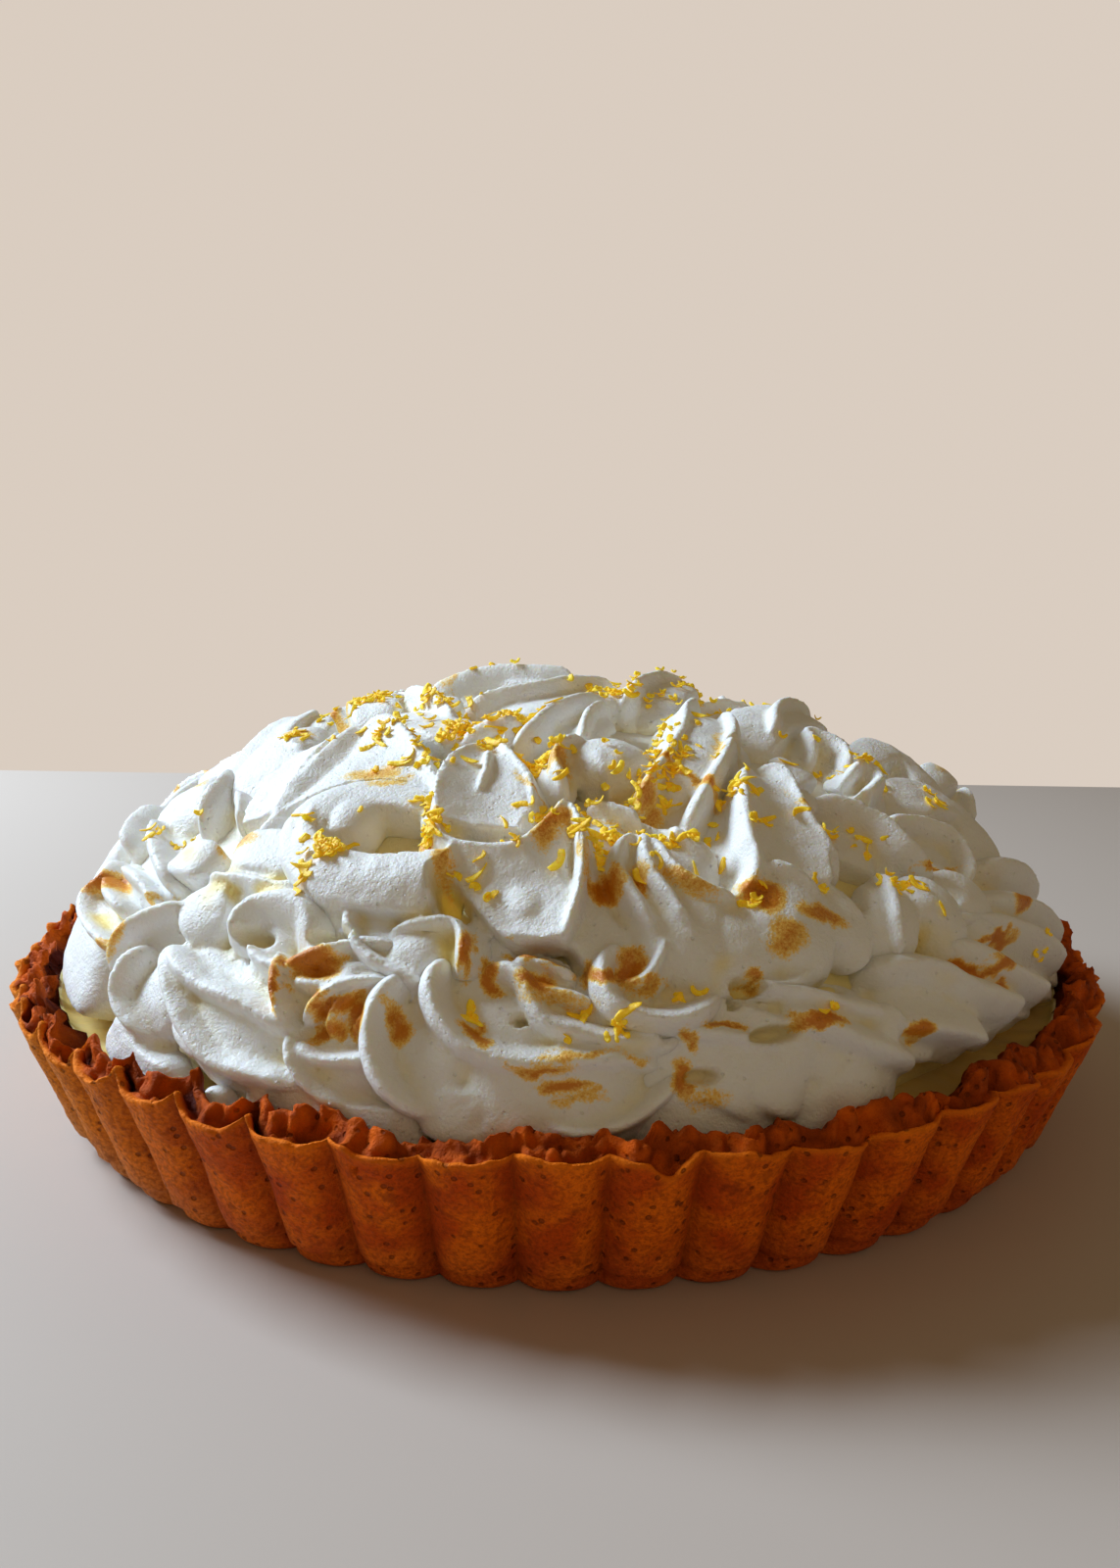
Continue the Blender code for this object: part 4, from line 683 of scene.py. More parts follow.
crest([(.7, 31.7, 8), (2.1, 28.6, 8), (2.3, 25.4, 7.4), (1.8, 22.2, 6.6), (.5, 18.6, 4.8)], 4.2, thick=6)
lobe([(-4.4, 26, 2), (-3.2, 23, 3.2), (-2, 20, 3.4)], 4.5, depth=.1)
lobe([(-12.6, 22.6, -3), (-12, 20.6, -2.5), (-10.6, 18.6, -2)], 4, depth=.1)
lobe([(-8, 34, -3), (-6, 30, -1), (-5, 26, 0)], 9, depth=.1)
crest([(-13, 44, 2.6), (-11.4, 39.5, 3.4), (-11.2, 35, 2.8)], 3)
crest([(-13, 47, 2.5), (-8.6, 43, 3.2), (-4.8, 38.4, 2.8), (-3.6, 34, 1.5), (-4, 30, 0)], 4.5)
lobe([(-2, 37, 0), (0, 33, 0), (2.4, 29, 0)], 8, depth=.1)
# the scroll: a rolled lip round a hollow
rope([(-15, 34.4, 1), (-20, 34.8, 2.5), (-26, 34.2, 3.5), (-30.4, 32, 4), (-31.4, 28.8, 4.5),
      (-29.6, 26, 4.5), (-26, 23.8, 4.5), (-21.6, 22.8, 5), (-17, 22.6, 5),
      (-13.2, 23.4, 5)], 6.2, ridges=4, depth=.16, phase=45, tail=.4)
petal([(-31.6, 30.4, 3.5), (-29, 27.6, 4.6), (-25, 25.6, 5), (-20.5, 25, 5), (-16, 25.2, 5.2),
      (-12.2, 25.8, 5.6)],
      [(-30, 25, 2), (-27, 22.6, 2.6), (-23.4, 21, 3), (-19, 20.4, 3.2), (-15.6, 20.4, 3.4),
       (-12.6, 20.4, 3)], 2.0, 9)
lobe([(-31, 30, 2), (-27, 30.6, 4), (-23.4, 30.6, 4.4)], 7.5, depth=.1)
crest([(-10.8, 27, 4.5), (-11.8, 25, 5.8), (-12.2, 22.8, 5.4), (-12.8, 20.2, 3)], 4)
crest([(-29.4, 24.8, 1), (-26, 22, 2), (-22, 20.8, 2.5), (-17, 21.1, 2), (-13.4, 21.8, 1)], 4)
lobe([(-21, 21, 0), (-18.5, 18.6, 1), (-15.5, 16.8, 1), (-11.5, 15.6, .5)], 7.5)
crest([(-20.6, 21.2, 1), (-19.4, 18.8, 2.5), (-17, 16.9, 2.5), (-13.8, 15.8, 2), (-11.2, 15.2, 1)], 5)
crest([(-16, 18.9, 1.5), (-12.5, 19.8, 3), (-9.6, 20, 3.5), (-8.3, 18.4, 4), (-8.3, 15.9, 3)], 5)
lobe([(-16, 17.6, 0), (-13, 17.8, 1.5), (-10, 17.4, 1.5)], 4.5, depth=.1)

# Third tier
part_of_mound("third_tier")
# the broad arch over the scroll
lobe([(-37.6, 26.4, .5), (-37, 29.4, 2), (-39.4, 35.6, 3.4), (-41.4, 41, 4.4),
      (-42.4, 46, 4.8)], 6.5, tail=.6, depth=.3, phase=20)
petal([(-43.8, 47.4, 4.5), (-38.6, 47.8, 5.5), (-33.6, 46.4, 5.5), (-27.6, 43.6, 5), (-22, 40.2, 4.2),
      (-17, 36, 3)],
      [(-37, 30, 1.5), (-33.6, 33.4, 2), (-30, 35.4, 2), (-26, 36.2, 2), (-22, 36, 1.8),
       (-18, 34.6, 1.5)], -1.2, 9)
crest([(-43.4, 46.8, 4), (-38.6, 47.6, 5.2), (-33.6, 46.2, 5.2), (-27.6, 43.4, 4.6), (-22, 40, 3.8),
      (-17, 35.6, 2)], 4)
petal([(-46.5, 43.5, 3.5), (-43.4, 38, 3.5), (-40.4, 33.4, 3), (-38.4, 29.6, 2)],
      [(-54, 40, 0), (-51, 35.5, 0), (-47, 31, 0), (-43.6, 27.6, 0)], -.6, 8)
# the peak behind it on the left
lobe([(-52, 31.6, 0), (-57, 36, 2), (-62, 41, 4.5), (-58, 45.4, 5)], 12, thick=11, depth=.2)
lobe([(-58, 33, 1), (-66, 37, 3), (-76, 41.4, 5), (-84, 44.6, 5.5)], 8.5, tail=.5, depth=.32)
lobe([(-88, 42, 1), (-78, 44.5, 3), (-68, 44, 2)], 9)
# the bean-shaped shell and the petals behind
crest([(5, 46.6, 2.5), (1.6, 45.2, 4.5), (-.6, 42.6, 5), (-.6, 39.6, 4.5), (1, 36.8, 3)], 5.5)
lobe([(2, 41.6, 3), (6, 43.4, 4.5), (11, 43, 4.5), (15.4, 40, 2.5)], 9, thick=8.5, depth=.12)
crest([(4, 47.3, 2.5), (6, 53, 4.5), (10, 58, 4.5), (15.5, 62.3, 3)], 5)
crest([(-10, 45.6, 1), (-6.5, 51, 3.5), (-2, 57.5, 4.5), (8, 63, 4.5), (20, 65.5, 2)], 9)
lobe([(-4, 49, 0), (2, 55, 1), (10, 60, 1)], 10, depth=.15)
# the blade with the torched edge
crest([(49, 54, 3), (42, 49.6, 5), (31, 42.6, 5.5), (22, 36.4, 4.5), (16.4, 31.8, 3)], 8)
crest([(52, 60, 4), (37, 55.6, 5), (25, 47.4, 4.5), (15.6, 40, 3.5), (11, 35.6, 1.5)], 8)
lobe([(47, 56.6, 2), (35, 50.6, 4), (25, 43, 4), (17, 36, 2)], 11, thick=9, depth=.1)
# folds on the right
crest([(37.6, 33.8, 2), (41, 31.6, 3.5), (43.8, 28.6, 4), (44.6, 25, 3.5), (47, 21.2, 2)], 8.5)
lobe([(33.6, 34.8, 2), (34.6, 33, 4), (34.4, 31, 3)], 3)
crest([(44, 31.8, 1), (50, 32.4, 3), (55.4, 33.4, 4), (56.4, 35.8, 4), (50.4, 35.6, 3)], 6)
lobe([(57, 31, 1), (66, 30, 3), (72, 27, 3.5), (71.4, 23.2, 3), (65, 19.6, 1)], 10, depth=.2)
crest([(44.6, 28.8, 1), (50.6, 27.6, 3), (55, 24.8, 4), (54.6, 21.8, 3), (51, 19.4, 1.5)], 7)
lobe([(48, 24.6, 0), (52, 22.4, .5), (57, 19, 0)], 8.5)
lobe([(13.5, 34.5, 0), (13.5, 30, .5), (15, 27, .5), (17.8, 24.2, .5)], 9, depth=.15)
crest([(3.6, 35.7, 1), (9, 33.5, 1.5), (14, 30.5, 1.5), (18.4, 26.8, 1)], 5)
lobe([(3, 35, -1), (5, 31, 0), (3.5, 27.5, 0)], 8, depth=.15)
lobe([(34, 31, -1), (38, 28, 0), (42, 25, 0)], 8)
lobe([(38, 38, 1), (42, 39, 2.5), (48, 39, 1)], 7)
lobe([(86, 28, 4), (92, 25.5, 7), (98, 23, 3)], 6.5, depth=.15)
crest([(90, 20, 1), (94, 21.4, 7), (99, 20, 2)], 4.5)
lobe([(74, 38, 2), (83, 35, 5), (82, 31, 4), (74, 27.4, 1)], 7.5, depth=.15)
lobe([(74, 30, 0), (81, 24, 1), (85, 16, 0)], 10)

# Top
part_of_mound("top")
lobe([(-112, 60, 1), (-128, 70, 4.5), (-150, 79, 5), (-210, 84, 4.5)], 13, depth=.2)
lobe([(-34, 63, 0), (-14, 70, 2.5), (24, 75, 3.5), (66, 74, 2)], 12, depth=.2)
crest([(-44, 64, 1), (-24, 71, 4), (14, 78, 5), (70, 79, 3)], 8)
crest([(-100, 62, 2), (-110, 72, 5.5), (-140, 83, 6), (-220, 86, 5)], 9)
lobe([(34, 67, 2), (75, 71, 4.5), (112, 67, 5), (118, 60, 3)], 12, depth=.2)
crest([(28, 68, 2), (60, 72.5, 5.5), (100, 70, 6), (116, 62, 4)], 8)
lobe([(50, 50, 1), (66, 51.6, 4), (84, 48, 5), (96, 44, 3)], 11, depth=.2)
crest([(56, 48, 2), (72, 50.4, 5.5), (90, 47, 6), (104, 42, 3)], 8)
lobe([(-64, 53, 1), (-80, 55, 3.5), (-104, 51, 3.5), (-112, 48, 1)], 8, depth=.2)
crest([(-30, 56, 1), (-46, 60, 3.5), (-70, 62, 4), (-86, 60, 2)], 8)
lobe([(-20, 52, 0), (-34, 54, 2), (-50, 54, 2), (-58, 52, 0)], 9)
lobe([(-18, 60, 0), (-4, 68, 2), (20, 71, 2)], 10)
lobe([(-26, 53, 0), (-15, 56.5, 2), (-2, 59, 2.5)], 9)
crest([(-24, 51, 0), (-16, 53, 2.5), (-8, 55, 3)], 6)
crest([(60, 42, 1), (66, 44.6, 3), (66, 40.4, 3), (60, 37.4, 1)], 7)
lobe([(-98, 60, 0), (-80, 64, 1.5), (-60, 65, 0)], 10)
lobe([(-70, 77, 1), (-70, 87, 2), (-70, 98, 1)], 10)

# Upper left
part_of_mound("upper_left")
crest([(-68, 34, 0), (-61, 32, 1.5), (-57, 29, 1.5), (-53, 26, 0)], 8)
crest([(-56, 32, 0), (-50, 30.6, 1), (-45, 28, 0)], 8)
lobe([(-78, 30.5, 0), (-69, 27.5, 1), (-60, 25, 0)], 10)
crest([(-67, 24.2, 0), (-60, 22.7, 1.5), (-53, 21.4, 1.5), (-46.6, 19.6, .5)], 7)
crest([(-84, 23, 0), (-75, 21, 1.5), (-68, 19.6, 1)], 8)
lobe([(-92, 36, 0), (-84, 33, 1), (-74, 31, 0)], 10)
crest([(-64, 17, 0), (-58, 16, 1), (-52, 15.4, 0)], 6)
lobe([(-100, 26, 0), (-90, 23, 1), (-80, 19, 0)], 11)
lobe([(-102, 18, 0), (-89, 16, 1), (-76, 14, 0)], 9)
lobe([(-104, 4.5, 0), (-90, 3.5, 0), (-74, 3.5, -1)], 6.5)

# The sides, the back and the crown are piped the same way, unevenly: for each tier the lowest and highest
# degrees up, how many strokes, the first and last degrees round, half width in mm and sweep in degrees
FILL_SEED = 7
TIERS = (("back_low", 4, 17, 23, 88, 268, 11.5, 7), ("back_mid", 14, 30, 18, 88, 268, 12.5, 9),
         ("back_high", 27, 46, 13, 86, 268, 13.5, 11), ("back_top", 42, 64, 9, 84, 268, 14, 16))
CROWN = ((-120, 50), (130, 50), (155, 62), (185, 52), (200, 68), (225, 60), (240, 46))
rng = np.random.default_rng(FILL_SEED)
for name, low, high, count, first, last, broad, reach in TIERS:
    part_of_mound(name)
    for i in range(count):
        around = first + (last - first) * (i + 0.5 + rng.uniform(-0.2, 0.2)) / count
        wide = broad * rng.uniform(0.85, 1.2)
        bend = rng.uniform(-1, 1)
        sweep = reach * rng.uniform(0.6, 1.3) * rng.choice([-1, 1], p=[0.3, 0.7])
        top = high + rng.uniform(-2, 2)
        rope([(around - sweep, top, -1), (around - sweep * 0.3 + bend * 3, top * 0.6 + low * 0.4, 1.5),
              (around + bend * 2, low + (top - low) * 0.25, 1), (around + sweep * 0.4, low, 0)],
             wide, ridges=int(rng.integers(5, 7)), depth=rng.uniform(0.36, 0.5), phase=rng.uniform(30, 90),
             twist=rng.uniform(-50, 50))
part_of_mound("crown")
for around, up in CROWN:
    rope([(around - 16, up + 5, 0), (around + rng.uniform(-5, 5), up + 1, 2.5), (around + 14, up - 6, 1)],
         rng.uniform(9.5, 12), ridges=int(rng.integers(5, 7)), depth=rng.uniform(0.36, 0.5),
         phase=rng.uniform(30, 90), twist=rng.uniform(-50, 50))


def mound_point(around, up, proud):
    """Points of the dome |r/R|^p + |h/H|^p = 1 at degrees round and degrees up, proud of it by metres
    along its outward normal, and the normals."""
    around, up = np.radians(around), np.radians(up)
    level, rise = np.cos(up), np.sin(up)
    both = np.abs(level / MOUND_RADIUS) ** MOUND_POWER + np.abs(rise / MOUND_RISE) ** MOUND_POWER
    reach = both ** (-1 / MOUND_POWER)
    r, h = reach * level, reach * rise
    slope_out = np.abs(r / MOUND_RADIUS) ** (MOUND_POWER - 1) / MOUND_RADIUS
    slope_up = np.sign(h) * np.abs(h / MOUND_RISE) ** (MOUND_POWER - 1) / MOUND_RISE
    size = np.hypot(slope_out, slope_up)
    away = np.stack([np.sin(around), -np.cos(around), 0 * around], -1)
    upward = np.array([0, 0, 1.0])
    normal = away * (slope_out / size)[..., None] + upward * (slope_up / size)[..., None]
    point = away * r[..., None] + upward * (MOUND_FOOT + h)[..., None]
    return point + normal * np.asarray(proud)[..., None], normal


def spot(around, up):
    """One point of the dome, its level direction to the right, its direction up the dome and its normal."""
    middle, normal = mound_point(np.array([around]), np.array([up]), np.array([0.0]))
    level = np.cross([0, 0, 1.0], normal[0])
    level /= np.linalg.norm(level)
    return middle[0], level, np.cross(normal[0], level), normal[0]


def through(rows, steps):
    """A smooth curve through rows of numbers: between two rows it follows the cubic that passes through
    both with the slope of the rows beside them."""
    p = np.vstack([2 * rows[0] - rows[1], rows, 2 * rows[-1] - rows[-2]])
    place_on = np.linspace(0, len(p) - 3, steps)
    i = np.minimum(place_on.astype(int), len(p) - 4)
    f = (place_on - i)[:, None]
    a, b, c, d = p[i], p[i + 1], p[i + 2], p[i + 3]
    return b + 0.5 * f * (c - a + f * (2 * a - 5 * b + 4 * c - d + f * (3 * (b - c) + d - a)))


def side_and_up(path, normal, least=0.0):
    """The sideways and the upward direction at each point of a path that lies on a face of that normal.
    Each length is taken as least longer than it is, so that a path may stand still."""
    along = np.gradient(path, axis=0)
    along = along / (np.linalg.norm(along, axis=1, keepdims=True) + least)
    side = np.cross(along, normal)
    side = side / (np.linalg.norm(side, axis=1, keepdims=True) + least)
    return side, np.cross(side, along)


# How far a star's points are rounded off, and the height that this leaves to the sine
ROUNDED, ROUNDED_SPAN = 0.1, 0.905


def stroke_rings(route, wide, thick=None, ridges=5, depth=0.42, phase=90, twist=0, head=1.0, tail=1.0,
                 tip=0.0):
    """Rings of a star carried along the route. A ring's reach falls by depth between ridges as a sine
    whose points are rounded off, and it grows as a round head and closes as a tail."""
    thick = wide if thick is None else thick
    rows = np.array([tuple(row) + (0,) * (3 - len(row)) for row in route], float)
    share = np.linspace(0, 1, STROKE_STEPS)
    around, up, proud = through(rows, STROKE_STEPS).T
    middle, normal = mound_point(around, up, (proud - thick) * MM)
    length = np.linalg.norm(np.diff(middle, axis=0), axis=1).sum() / MM
    side, upward = side_and_up(middle, normal)
    start, end = min(head * wide / length, 0.5), min(tail * wide / length, 0.95)
    size = np.sqrt(np.clip(1 - (1 - np.clip(share / start, 0, 1)) ** 2, 0, 1))
    size = size * (1 - (1 - np.clip((1 - share) / end, 0, 1)) ** 2) ** (0.5 + 0.5 * tip)
    angle = np.linspace(0, 2 * np.pi, STROKE_SIDES, endpoint=False)
    turned = angle[None] - np.radians(phase + twist * share)[:, None]
    wave = np.sqrt(np.sin(ridges * turned / 2) ** 2 + ROUNDED ** 2) - ROUNDED
    reach = size[:, None] * (1 - depth * (wave / ROUNDED_SPAN) ** 0.9) * MM
    across, above = wide * reach * np.cos(angle), thick * reach * np.sin(angle)
    return middle[:, None] + side[:, None] * across[..., None] + upward[:, None] * above[..., None]


# A petal's thickness at its rim in mm, and how steeply it thickens below it
PETAL_EDGE, PETAL_BEVEL = 0.4, 2.2


def petal_rings(rim, thick, foot, belly):
    """Rings round a petal, each down its front from rim to foot and back up behind. The front is a straight
    blend of the two edges plus belly times the sine of the way down, and the back falls away from the rim
    to the full thickness."""
    edges = []
    for route in (rim, foot):
        around, up, proud = through(np.array(route, float), STROKE_STEPS).T
        edges.append(mound_point(around, up, proud * MM))
    down = np.linspace(0, 1, STROKE_SIDES // 2)[:, None, None]
    (top, top_normal), (low, low_normal) = edges
    normal = top_normal * (1 - down) + low_normal * down
    front = top * (1 - down) + low * down + normal * belly * MM * np.sin(np.pi * down)
    bevel = np.sin(np.clip(down * PETAL_BEVEL, 0, 1) * np.pi / 2)
    back = front - normal * (PETAL_EDGE + (thick - PETAL_EDGE) * bevel) * MM
    return np.concatenate([front, back[::-1]]).transpose(1, 0, 2)


def closed_skin(rings):
    """The rings as points and faces, with a point to close each end."""
    rows, columns = rings.shape[:2]
    last = rows * columns
    faces = grid_faces(rows, columns)[:, ::-1]
    ends = np.vstack([cap_faces(0, columns, last, True),
                      cap_faces((rows - 1) * columns, columns, last + 1, False)])
    return np.vstack([rings.reshape(-1, 3), rings[0].mean(0), rings[-1].mean(0)]), faces, ends


def stroke_skin(route, wide, form):
    """A stroke's closed skin: a petal's where it has a foot, and a star's otherwise."""
    rings = petal_rings if "foot" in form else stroke_rings
    return closed_skin(rings(route, wide, **form))


def join(skins):
    """Several closed skins as one set of points and faces."""
    points, quads, ends, count = [], [], [], 0
    for skin_points, skin_quads, skin_ends in skins:
        points.append(skin_points)
        quads.append(skin_quads + count)
        ends.append(skin_ends + count)
        count += len(skin_points)
    return np.vstack(points), np.vstack(quads), np.vstack(ends)


def run_together(name, skins, size):
    """One body of all the skins, joined where they cross, with faces about that size in metres."""
    piled = place(name, plain_mesh(name, *join(skins)))
    remesh = piled.modifiers.new("run_together", "REMESH")
    remesh.mode = "VOXEL"
    remesh.voxel_size = size
    soften = piled.modifiers.new("soften", "SMOOTH")
    soften.factor = 0.5
    soften.iterations = 1
    result = bpy.data.meshes.new_from_object(piled.evaluated_get(bpy.context.evaluated_depsgraph_get()))
    bpy.data.objects.remove(piled)
    result.name = name
    result.shade_smooth()
    return result


def read_points(mesh):
    """A mesh's points and normals as arrays, and its edges as pairs."""
    points, normals = np.empty((len(mesh.vertices), 3)), np.empty((len(mesh.vertices), 3))
    edges = np.empty((len(mesh.edges), 2), np.int64)
    mesh.vertices.foreach_get("co", points.ravel())
    mesh.vertices.foreach_get("normal", normals.ravel())
    mesh.edges.foreach_get("vertices", edges.ravel())
    return points, normals, edges


def neighbour_mean(values, edges, times):
    """Each point's value averaged over the points beside it, so many times over."""
    a, b = edges.T
    count = np.bincount(a, minlength=len(values)) + np.bincount(b, minlength=len(values))
    for _ in range(times):
        total = [np.bincount(a, column[b], len(values)) + np.bincount(b, column[a], len(values))
                 for column in values.reshape(len(values), -1).T]
        values = (np.stack(total, -1) / np.maximum(count, 1)[:, None]).reshape(values.shape)
    return values


# Where the torch caught the meringue: degrees round and up, half length and half width in mm, degrees of
# turn from level, how brown (0 to 1), and how far it keeps to sharp crests (0 to 1)
TORCHED = (
    (-61, 16.5, 9, 3.5, 20, 0.8, 0.2), (-51, 11.8, 3, 2, 0, 0.5, 0), (-41, 25.5, 6.5, 2.6, 10, 0.55, 0),
    (-48, 15, 2, 9, 0, 0.5, 0.8), (-24.4, 13, 1.2, 6, 12, 0.9, 0.3), (-29, 37, 6, 3, 25, 0.45, 0),
    (-25, 36, 5, 2.4, 35, 0.4, 0), (-21, 29.4, 2.2, 3.6, -20, 0.9, 0), (-15, 29, 2.2, 3.5, 0, 0.85, 0),
    (-11.6, 25, 2.4, 3, 0, 0.5, 0.3), (-8, 18, 1.4, 4.5, 0, 0.85, 0.3), (-22, 15.8, 6.5, 2.6, 12, 0.85, 0),
    (-18.5, 12.6, 5.5, 1.6, 30, 0.9, 0), (-19, 10.6, 5, 1.6, 25, 0.75, 0), (-16.5, 12, 1.6, 4, 10, 0.75, 0),
    (-20.5, 12.8, 4, 1.3, 45, 0.75, 0), (-13.2, 12, 2.2, 4.2, 12, 0.75, 0),
    (-6.2, 11.4, 4.5, 1.8, -35, 0.8, 0), (-1, 9.4, 6, 1, 0, 0.6, 0), (1, 8.2, 6.5, 1.1, 0, 0.7, 0),
    (2, 7.2, 5, 1.3, 4, 0.4, 0), (3, 10.2, 10, 0.9, 0, 0.55, 0.6), (10, 8.4, 1.6, 3.5, 10, 0.7, 0),
    (12, 7, 4, 1.8, 0, 0.35, 0), (-1.5, 15.8, 3.5, 2.6, 0, 0.85, 0), (-5.5, 16.2, 1.8, 4, 20, 0.75, 0),
    (3.5, 15.9, 4.2, 2.2, -4, 0.8, 0), (-2, 18.2, 6.5, 0.6, -22, 0.9, 0), (0, 14.2, 8, 1.2, -8, 0.35, 0),
    (-1.2, 28.8, 3.5, 6.5, -20, 0.6, 0), (2.2, 26, 1, 9, 0, 0.5, 0.7), (4.5, 23.8, 4.5, 3, 0, 0.75, 0),
    (8.4, 24, 1.8, 4.5, 10, 0.6, 0.2), (6, 16.6, 2.4, 4.5, 8, 0.7, 0), (8, 15.2, 2.8, 1.4, 35, 0.5, 0),
    (12.5, 24, 7, 2, -25, 0.5, 0.3), (20, 22, 4.6, 5.2, 20, 0.95, 0), (21, 18.2, 4, 4, 0, 0.5, 0),
    (26, 19.6, 6, 2, -22, 0.6, 0), (17, 15.4, 1.4, 2, 0, 0.6, 0), (34, 30, 6, 2.2, -35, 0.8, 0.3),
    (32, 33.4, 1.2, 5, -10, 0.5, 0.8), (61, 16, 7, 2.2, 0, 0.9, 0), (76, 11, 5, 1.6, -20, 0.8, 0.2),
    (50, 14.4, 9, 1.4, -12, 0.9, 0.2), (47, 12.2, 8, 1.6, -14, 0.85, 0), (43, 12.8, 7, 1.4, -14, 0.8, 0),
    (46, 10.4, 4, 1.2, -14, 0.9, 0.2), (32, 10, 3.6, 1.8, -30, 0.85, 0),
    (22.5, 11.6, 5.5, 1.5, -8, 0.85, 0), (14, 12, 5, 1.2, -10, 0.75, 0), (10.5, 11.5, 1.2, 2, 20, 0.6, 0),
    (19.5, 39, 1.4, 12, 25, 0.9, 0.5), (13, 36, 4, 4, 0, 0.55, 0), (0, 41, 3, 4, 0, 0.55, 0),
    (-4, 37, 7, 0.7, -40, 0.5, 0.3), (49, 22.4, 9, 0.9, -20, 0.85, 0.3), (30, 44, 9, 1.2, 45, 0.8, 0.6),
    (-62, 42, 5, 3, 20, 0.4, 0), (-72, 30, 4, 3, 0, 0.35, 0), (6, 33, 8, 0.7, -30, 0.5, 0.3),
    (90, 14, 6, 2, 0, 0.7, 0.2), (-84, 17, 6, 2.5, 0, 0.5, 0.2),
)
# Deep gaps painted with the warm cream shade of the creases: degrees round and up, reach in mm
SHADED_GAPS = (
    (-12.4, 21.3, 6), (-10.6, 22.4, 5), (-17, 30, 6.5), (-47, 22, 6), (-38, 20.8, 6), (-31, 21.5, 5),
    (-13.5, 30, 4), (-9.6, 18, 4), (6, 12.4, 5), (-56, 14, 7), (15, 16, 4), (38, 15, 7), (4, 38.5, 5),
    (24, 56, 6),
)
# Hollows left where strokes don't meet: degrees round and up, half length and half width in mm, degrees of
# turn from level and depth in mm
HOLLOWS = (
    (-18, 29.6, 4.6, 3.8, -10, 8), (-10.6, 22.4, 6, 3.0, -55, 7), (-30, 17.2, 5, 2.2, 0, 5),
    (-21, 18, 5, 2, 10, 5), (16.5, 15, 3.5, 2, -10, 6), (25.5, 14.4, 5.5, 1.7, 0, 6),
    (-1, 18.1, 8, 1.2, -18, 4), (-3, 12.8, 1.4, 1.1, 0, 4), (15, 13.8, 1.4, 1.4, 0, 5),
    (18, 11.2, 6, 1.8, 4, 5), (11.5, 8.5, 3.5, 1.6, 0, 4), (-45, 28, 4, 2, -40, 4), (45, 29, 5, 2, -40, 5),
    (47, 31.8, 3, 2, 0, 5), (12, 32, 5, 2, -50, 4), (35, 42, 6, 2, -50, 5), (60, 25, 6, 2, -10, 5),
)
TORCH_SEED = 31
BACK_PATCHES = 70
# A torched patch spreads a little past its own length and width, and fades past this depth in mm
SPREAD_LONG, SPREAD_WIDE, TORCH_REACH = 1.2, 1.25, 7
CRISPNESS = 0.55


def patch(points, around, up, long, wide, lean):
    """Over an oval patch of the dome, 1 - (distance in the patch's own lengths) squared, and how far in mm
    each point stands off it, and the patch's outward normal."""
    middle, level, upward, normal = spot(around, up)
    tilt = math.radians(lean)
    off = (points - middle) / MM
    first = off @ (level * math.cos(tilt) + upward * math.sin(tilt)) / long
    second = off @ (upward * math.cos(tilt) - level * math.sin(tilt)) / wide
    return 1 - first ** 2 - second ** 2, off @ normal, normal


def browned(points, normals, sharp):
    """How brown each point is: the most that any torched patch gives, as 1 - distance squared in the
    patch's own lengths, on faces that look outward."""
    patches = list(TORCHED)
    rng = np.random.default_rng(TORCH_SEED)
    for _ in range(BACK_PATCHES):
        patches.append((rng.uniform(88, 272), 90 - 80 * math.sqrt(rng.uniform(0.02, 1)), rng.uniform(2, 8),
                        rng.uniform(0.8, 3), rng.uniform(-40, 40), rng.uniform(0.3, 0.9),
                        rng.uniform(0, 0.6)))
    brown = np.zeros(len(points))
    warp = MM * np.stack([rough(points, (1.6, 5, seed), (0.9, 1.8, seed + 3)) for seed in (61, 62, 63)], -1)
    for around, up, long, wide, lean, strength, keep in patches:
        near, proud, outward_there = patch(points + warp, around, up, SPREAD_LONG * long,
                                           SPREAD_WIDE * wide, lean)
        near = near - np.clip(np.abs(proud) - TORCH_REACH, 0, None) * 0.3
        facing = ramp(normals @ outward_there, -0.2, 0.3)
        held = strength * np.clip(near, 0, 1) ** 1.15 * (1 - keep + keep * sharp) * facing
        brown = np.maximum(brown, held)
    return brown


whipped, nodes, shader, where = new_material("whipped_meringue", 0.46)
WHITE = (0.86, 0.855, 0.84, 1)
CREAM_SHADE = (0.92, 0.76, 0.30, 1)
LEMON = (1.0, 0.64, 0.05, 1)
PALE_GOLD = (0.95, 0.63, 0.13, 1)
TOASTED = (0.66, 0.22, 0.002, 1)
SCORCHED = (0.34, 0.075, 0.002, 1)
deep = nodes.attribute("crevice")
# Painted shade: creases and gaps are painted a warm cream
colour = nodes.mix(deep, WHITE, CREAM_SHADE)
# Painted glow: the deepest hollows are painted lemon yellow
lemon_glow = nodes.step(deep, 1.0, 1.7)
colour = nodes.mix(lemon_glow, colour, LEMON)
# Light that comes through the meringue and the curd into the deepest gaps
glow = nodes.mix(lemon_glow, (0, 0, 0, 1), LEMON)
whipped.node_tree.links.new(glow, shader.inputs["Emission Color"])
shader.inputs["Emission Strength"].default_value = 0.22
scorch = nodes.attribute("torched")
speckle = nodes.math("SUBTRACT", nodes.noise(0.55 * MM, where, Roughness=0.7), 0.5)
loose = nodes.math("ADD", scorch, nodes.math("MULTIPLY", speckle, 0.9))
shown = nodes.step(scorch, 0.01, 0.12)
colour = nodes.mix(nodes.math("MULTIPLY", nodes.step(loose, 0.02, 0.34), shown), colour, PALE_GOLD)
colour = nodes.mix(nodes.math("MULTIPLY", nodes.step(loose, 0.22, 0.66), shown), colour, TOASTED)
colour = nodes.mix(nodes.step(loose, 0.74, 1.15), colour, SCORCHED)
whipped.node_tree.links.new(colour, shader.inputs["Base Color"])
